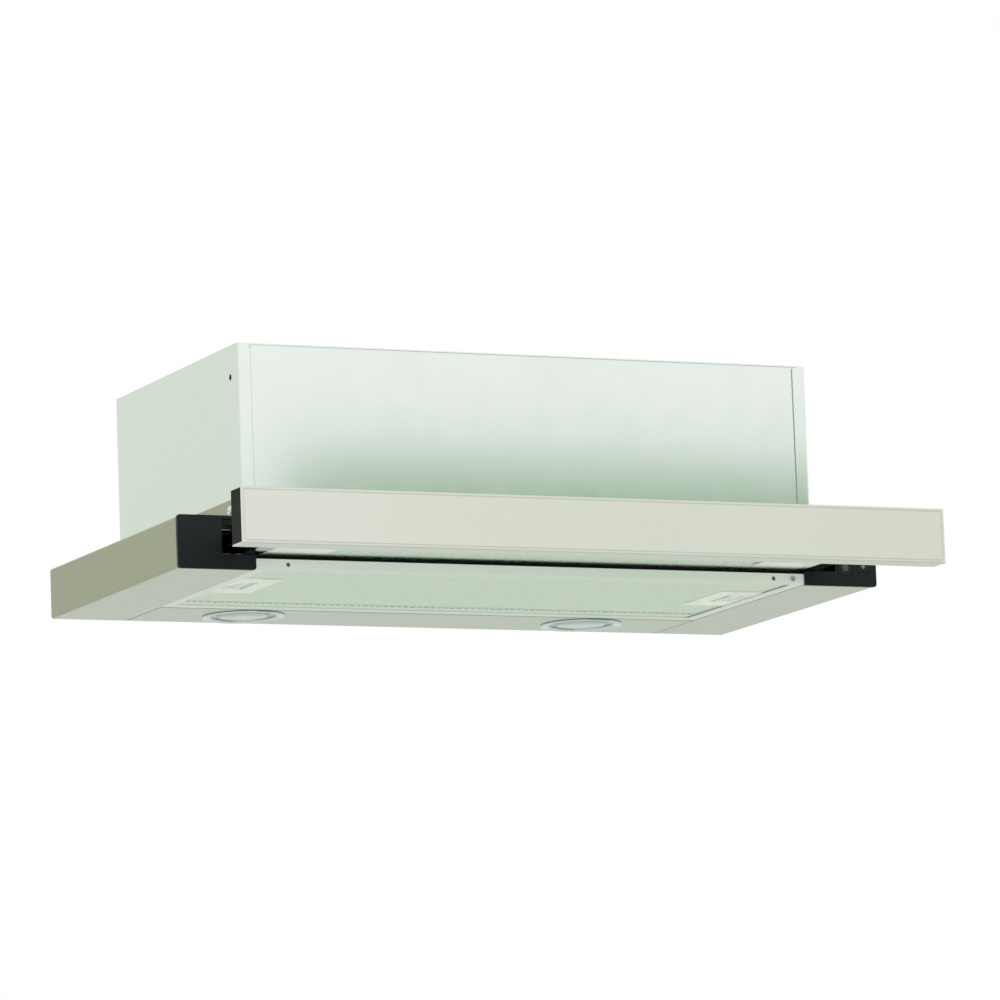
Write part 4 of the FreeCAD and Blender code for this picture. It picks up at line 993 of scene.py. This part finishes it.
def trim_strip(name, low, high, finish, rounding):
    """Make one rounded strip between two corners."""
    strip = block(low, high)
    round_edges(strip, rounding)
    bpy.ops.object.shade_smooth_by_angle(angle=SMOOTH_ANGLE)
    return seat(strip, name, "housing", finish)


def bar_foam():
    """Lay the foam along the front bar, between the end caps."""
    carrier_low, carrier_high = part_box("filter_carrier")
    low = Vector((carrier_low.x + FOAM_SIDE_GAP, carrier_low.y + FOAM_INSET, carrier_high.z))
    rear = carrier_low.y + FOAM_DEPTH
    high = Vector((carrier_high.x - FOAM_SIDE_GAP, rear, carrier_high.z + FOAM_HEIGHT))
    return trim_strip("bar_foam", low, high, "seal_foam", rounding=0.2 * MM)


def rear_lip():
    """Fold the carrier's sheet up behind the filter."""
    filter_low, filter_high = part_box("filter_frame")
    carrier_low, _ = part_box("filter_carrier")
    sheet_top = carrier_low.z + CARRIER_SHEET
    low = Vector((filter_low.x, filter_high.y + LIP_GAP, sheet_top))
    high = Vector((filter_high.x, filter_high.y + LIP_GAP + LIP, sheet_top + LIP_HEIGHT))
    return trim_strip("carrier_lip", low, high, "white_enamel", rounding=0.12 * MM)


def rear_foam():
    """Close the gap between the lamp panel's back flange and the casing with a flat foam strip."""
    panel_low, panel_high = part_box("lamp_panel")
    casing_low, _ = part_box("casing_side_left")
    back_low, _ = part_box("casing_back_panel")
    low = Vector((panel_low.x + FOAM_SIDE_GAP, back_low.y, panel_high.z))
    rear = panel_high.y - FOAM_INSET
    high = Vector((panel_high.x - FOAM_SIDE_GAP, rear, casing_low.z - FOAM_PLAY))
    return trim_strip("rear_foam", low, high, "seal_foam", rounding=0.3 * MM)


def rail_plug(name, side):
    """Close the open rear end of one frame rail with a thin foam plug, behind the slide."""
    rail_low, rail_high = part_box("rail_" + name)
    _, panel_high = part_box("lamp_panel")
    casing_low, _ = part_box("casing_side_" + name)
    inner = panel_high.x + PLUG_SIDE_GAP
    outer = max(abs(rail_low.x), abs(rail_high.x)) - PLUG_PLAY
    low_x, high_x = sorted((side * inner, side * outer))
    rear = rail_high.y - PLUG_INSET
    low = Vector((low_x, rear - PLUG_THICKNESS, rail_low.z + PLUG_PLAY))
    high = Vector((high_x, rear, casing_low.z - PLUG_PLAY))
    return trim_strip("rail_plug_" + name, low, high, "seal_foam", rounding=0.3 * MM)


def casing_bead_seam_shadow(name, side):
    """Fill the seam beside one casing side's front flange with a bead whose darker colour is painted shadow."""
    flange_low, flange_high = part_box("casing_side_" + name)
    panel_low, panel_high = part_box("casing_front_panel")
    seam_x = flange_high.x if side < 0 else flange_low.x
    far_x = seam_x - side * BEAD
    end_gap = 1 * MM
    low = Vector((min(seam_x, far_x), panel_low.y - BEAD, panel_low.z + end_gap))
    high = Vector((max(seam_x, far_x), panel_low.y, panel_high.z - end_gap))
    return trim_strip("casing_bead_seam_shadow_" + name, low, high, "seam_shadow_paint", rounding=0.15 * MM)


strips = [bar_foam(), rear_lip(), rear_foam()]
strips += [rail_plug(name, side) for name, side in SIDES]
strips += [casing_bead_seam_shadow(name, side) for name, side in SIDES]
print(len(strips), "strips and plugs")

# %% [markdown]
# ### Screws
#
# The screws have pan heads with a cross recess. One is modelled at the origin, with its head towards +z,
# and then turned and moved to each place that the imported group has.

# %% Screws
HEAD_RADIUS = 3.3 * MM
BAR_HEAD_RADIUS = 2.4 * MM
HEAD_HEIGHT = 1.2 * MM
WASHER_RADIUS = 4 * MM
WASHER_HEIGHT = 0.6 * MM
SHANK_RADIUS = 1.9 * MM
RECESS_LENGTH = 3.2 * MM
RECESS_WIDTH = 0.9 * MM
RECESS_DEPTH = 0.7 * MM
HEAD_ROUND = 0.45 * MM
WASHER_ROUND = 0.15 * MM
SHANK_ROUND = 0.2 * MM
SHANK_SIDES = 16
SHANK_OVERLAP = 0.1 * MM
RAIL_SCREWS_FROM = 200 * MM
RAIL_SCREWS_ABOVE = 20 * MM


def disc(radius, low, high, rounding, sides=32):
    """Add an upright disc with rounded rims."""
    clear_selection()
    bpy.ops.mesh.primitive_cylinder_add(
        vertices=sides, radius=radius, depth=high - low, location=(0, 0, (low + high) / 2)
    )
    piece = bpy.context.object
    bpy.ops.object.transform_apply(location=True, rotation=True, scale=True)
    round_edges(piece, rounding)
    return piece


def cross_recess(head, top):
    """Cut a cross into the top of a head."""
    for size_x, size_y in ((RECESS_LENGTH, RECESS_WIDTH), (RECESS_WIDTH, RECESS_LENGTH)):
        half = Vector((size_x / 2, size_y / 2, RECESS_DEPTH))
        cutter = block(Vector((0, 0, top)) - half, Vector((0, 0, top)) + half)
        apply_modifier(head, "BOOLEAN", object=cutter, operation="DIFFERENCE", solver="EXACT")
        clear_selection()
        cutter.select_set(True)
        bpy.ops.object.delete()
    return head


def screw(with_washer, length, head_radius):
    """Model one screw whose head stands on z = 0."""
    base = WASHER_HEIGHT if with_washer else 0
    top = base + HEAD_HEIGHT
    parts = [cross_recess(disc(head_radius, base, top, HEAD_ROUND), top)]
    if with_washer:
        parts.append(disc(WASHER_RADIUS, 0, WASHER_HEIGHT, WASHER_ROUND))
    parts.append(disc(SHANK_RADIUS, -length, base + SHANK_OVERLAP, SHANK_ROUND, SHANK_SIDES))
    piece = join(parts)
    bpy.ops.object.shade_smooth_by_angle(angle=SMOOTH_ANGLE)
    return piece


def place_screw(piece, foot, outward):
    """Turn a screw's head towards a direction and move its head's foot to a place."""
    turn = Vector((0, 0, 1)).rotation_difference(outward).to_matrix().to_4x4()
    piece.matrix_world = Matrix.Translation(foot) @ turn
    return piece


def stands_on_rail(low, high):
    """Tell a rail screw, beside the casing, from one that faces the front."""
    return min(abs(low.x), abs(high.x)) > RAIL_SCREWS_FROM and low.z > RAIL_SCREWS_ABOVE


def screw_group(node, name, body, front_radius):
    """Replace a group of packed screws; those on the rails have washers, those in front have none."""
    made = []
    for low, high in islands(node):
        middle = (low + high) / 2
        if node == "housing_screws" and stands_on_rail(low, high):
            side = math.copysign(1, middle.x)
            stack = HEAD_HEIGHT + WASHER_HEIGHT
            foot = Vector((side * (max(abs(low.x), abs(high.x)) - stack), middle.y, middle.z))
            piece = screw(True, high.x - low.x - stack, HEAD_RADIUS)
            made.append(place_screw(piece, foot, Vector((side, 0, 0))))
        else:
            foot = Vector((middle.x, low.y + HEAD_HEIGHT, middle.z))
            piece = screw(False, high.y - low.y - HEAD_HEIGHT, front_radius)
            made.append(place_screw(piece, foot, Vector((0, -1, 0))))
    return seat(join(made), name, body, "screw_steel", (node,))


screw_group("housing_screws", "housing_screws_detailed", "housing", BAR_HEAD_RADIUS)
screw_group("fascia_screws", "fascia_screws_detailed", "drawer", HEAD_RADIUS)

# %% [markdown]
# ### Signs on the controls
#
# The light button carries the usual lamp sign, a ring with rays, and the speed slider carries a small fan
# of four blades. Both are raised a tenth of a millimetre.

# %% Signs
SIGN_RAISE = 0.1 * MM
SIGN_ROUND = 0.08 * MM
RAY_COUNT = 8
FAN_BLADES = 4


def sign_bar(angle, inner, outer, width):
    """Add one flat bar that points away from the middle."""
    bar = block(Vector((inner, -width / 2, -SIGN_RAISE)), Vector((outer, width / 2, SIGN_RAISE)))
    round_edges(bar, SIGN_ROUND, 2)
    bar.matrix_world = Matrix.Rotation(angle, 4, "Z")
    bpy.ops.object.transform_apply(location=True, rotation=True, scale=True)
    return bar


def ring_sign(radius, thickness):
    """Add a flat ring."""
    clear_selection()
    bpy.ops.mesh.primitive_torus_add(
        major_radius=radius, minor_radius=thickness / 2, major_segments=40, minor_segments=8
    )
    ring = bpy.context.object
    bpy.ops.transform.resize(value=(1, 1, SIGN_RAISE * 2 / thickness))
    bpy.ops.object.transform_apply(location=True, rotation=True, scale=True)
    return ring


def control_sign(name, node, body, bars, inner, outer, width, ring_radius, rise):
    """Put a sign of a ring and bars on a control's front, at a height over its lower edge."""
    low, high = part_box(node)
    parts = [ring_sign(ring_radius, width)]
    for index in range(bars):
        parts.append(sign_bar(math.tau * index / bars, inner, outer, width))
    sign = join(parts)
    turn = Matrix.Rotation(math.radians(90), 4, "X")
    sign.matrix_world = Matrix.Translation(((low.x + high.x) / 2, low.y, low.z + rise)) @ turn
    return seat(sign, name, body, "sign_paint")


control_sign(
    "light_sign",
    "light_button",
    "light_switch",
    bars=RAY_COUNT,
    inner=1.9 * MM,
    outer=3 * MM,
    width=0.4 * MM,
    ring_radius=1.3 * MM,
    rise=5.6 * MM,
)
control_sign(
    "fan_sign",
    "speed_knob",
    "speed_control",
    bars=FAN_BLADES,
    inner=0.6 * MM,
    outer=1.8 * MM,
    width=0.6 * MM,
    ring_radius=0.5 * MM,
    rise=4.4 * MM,
)
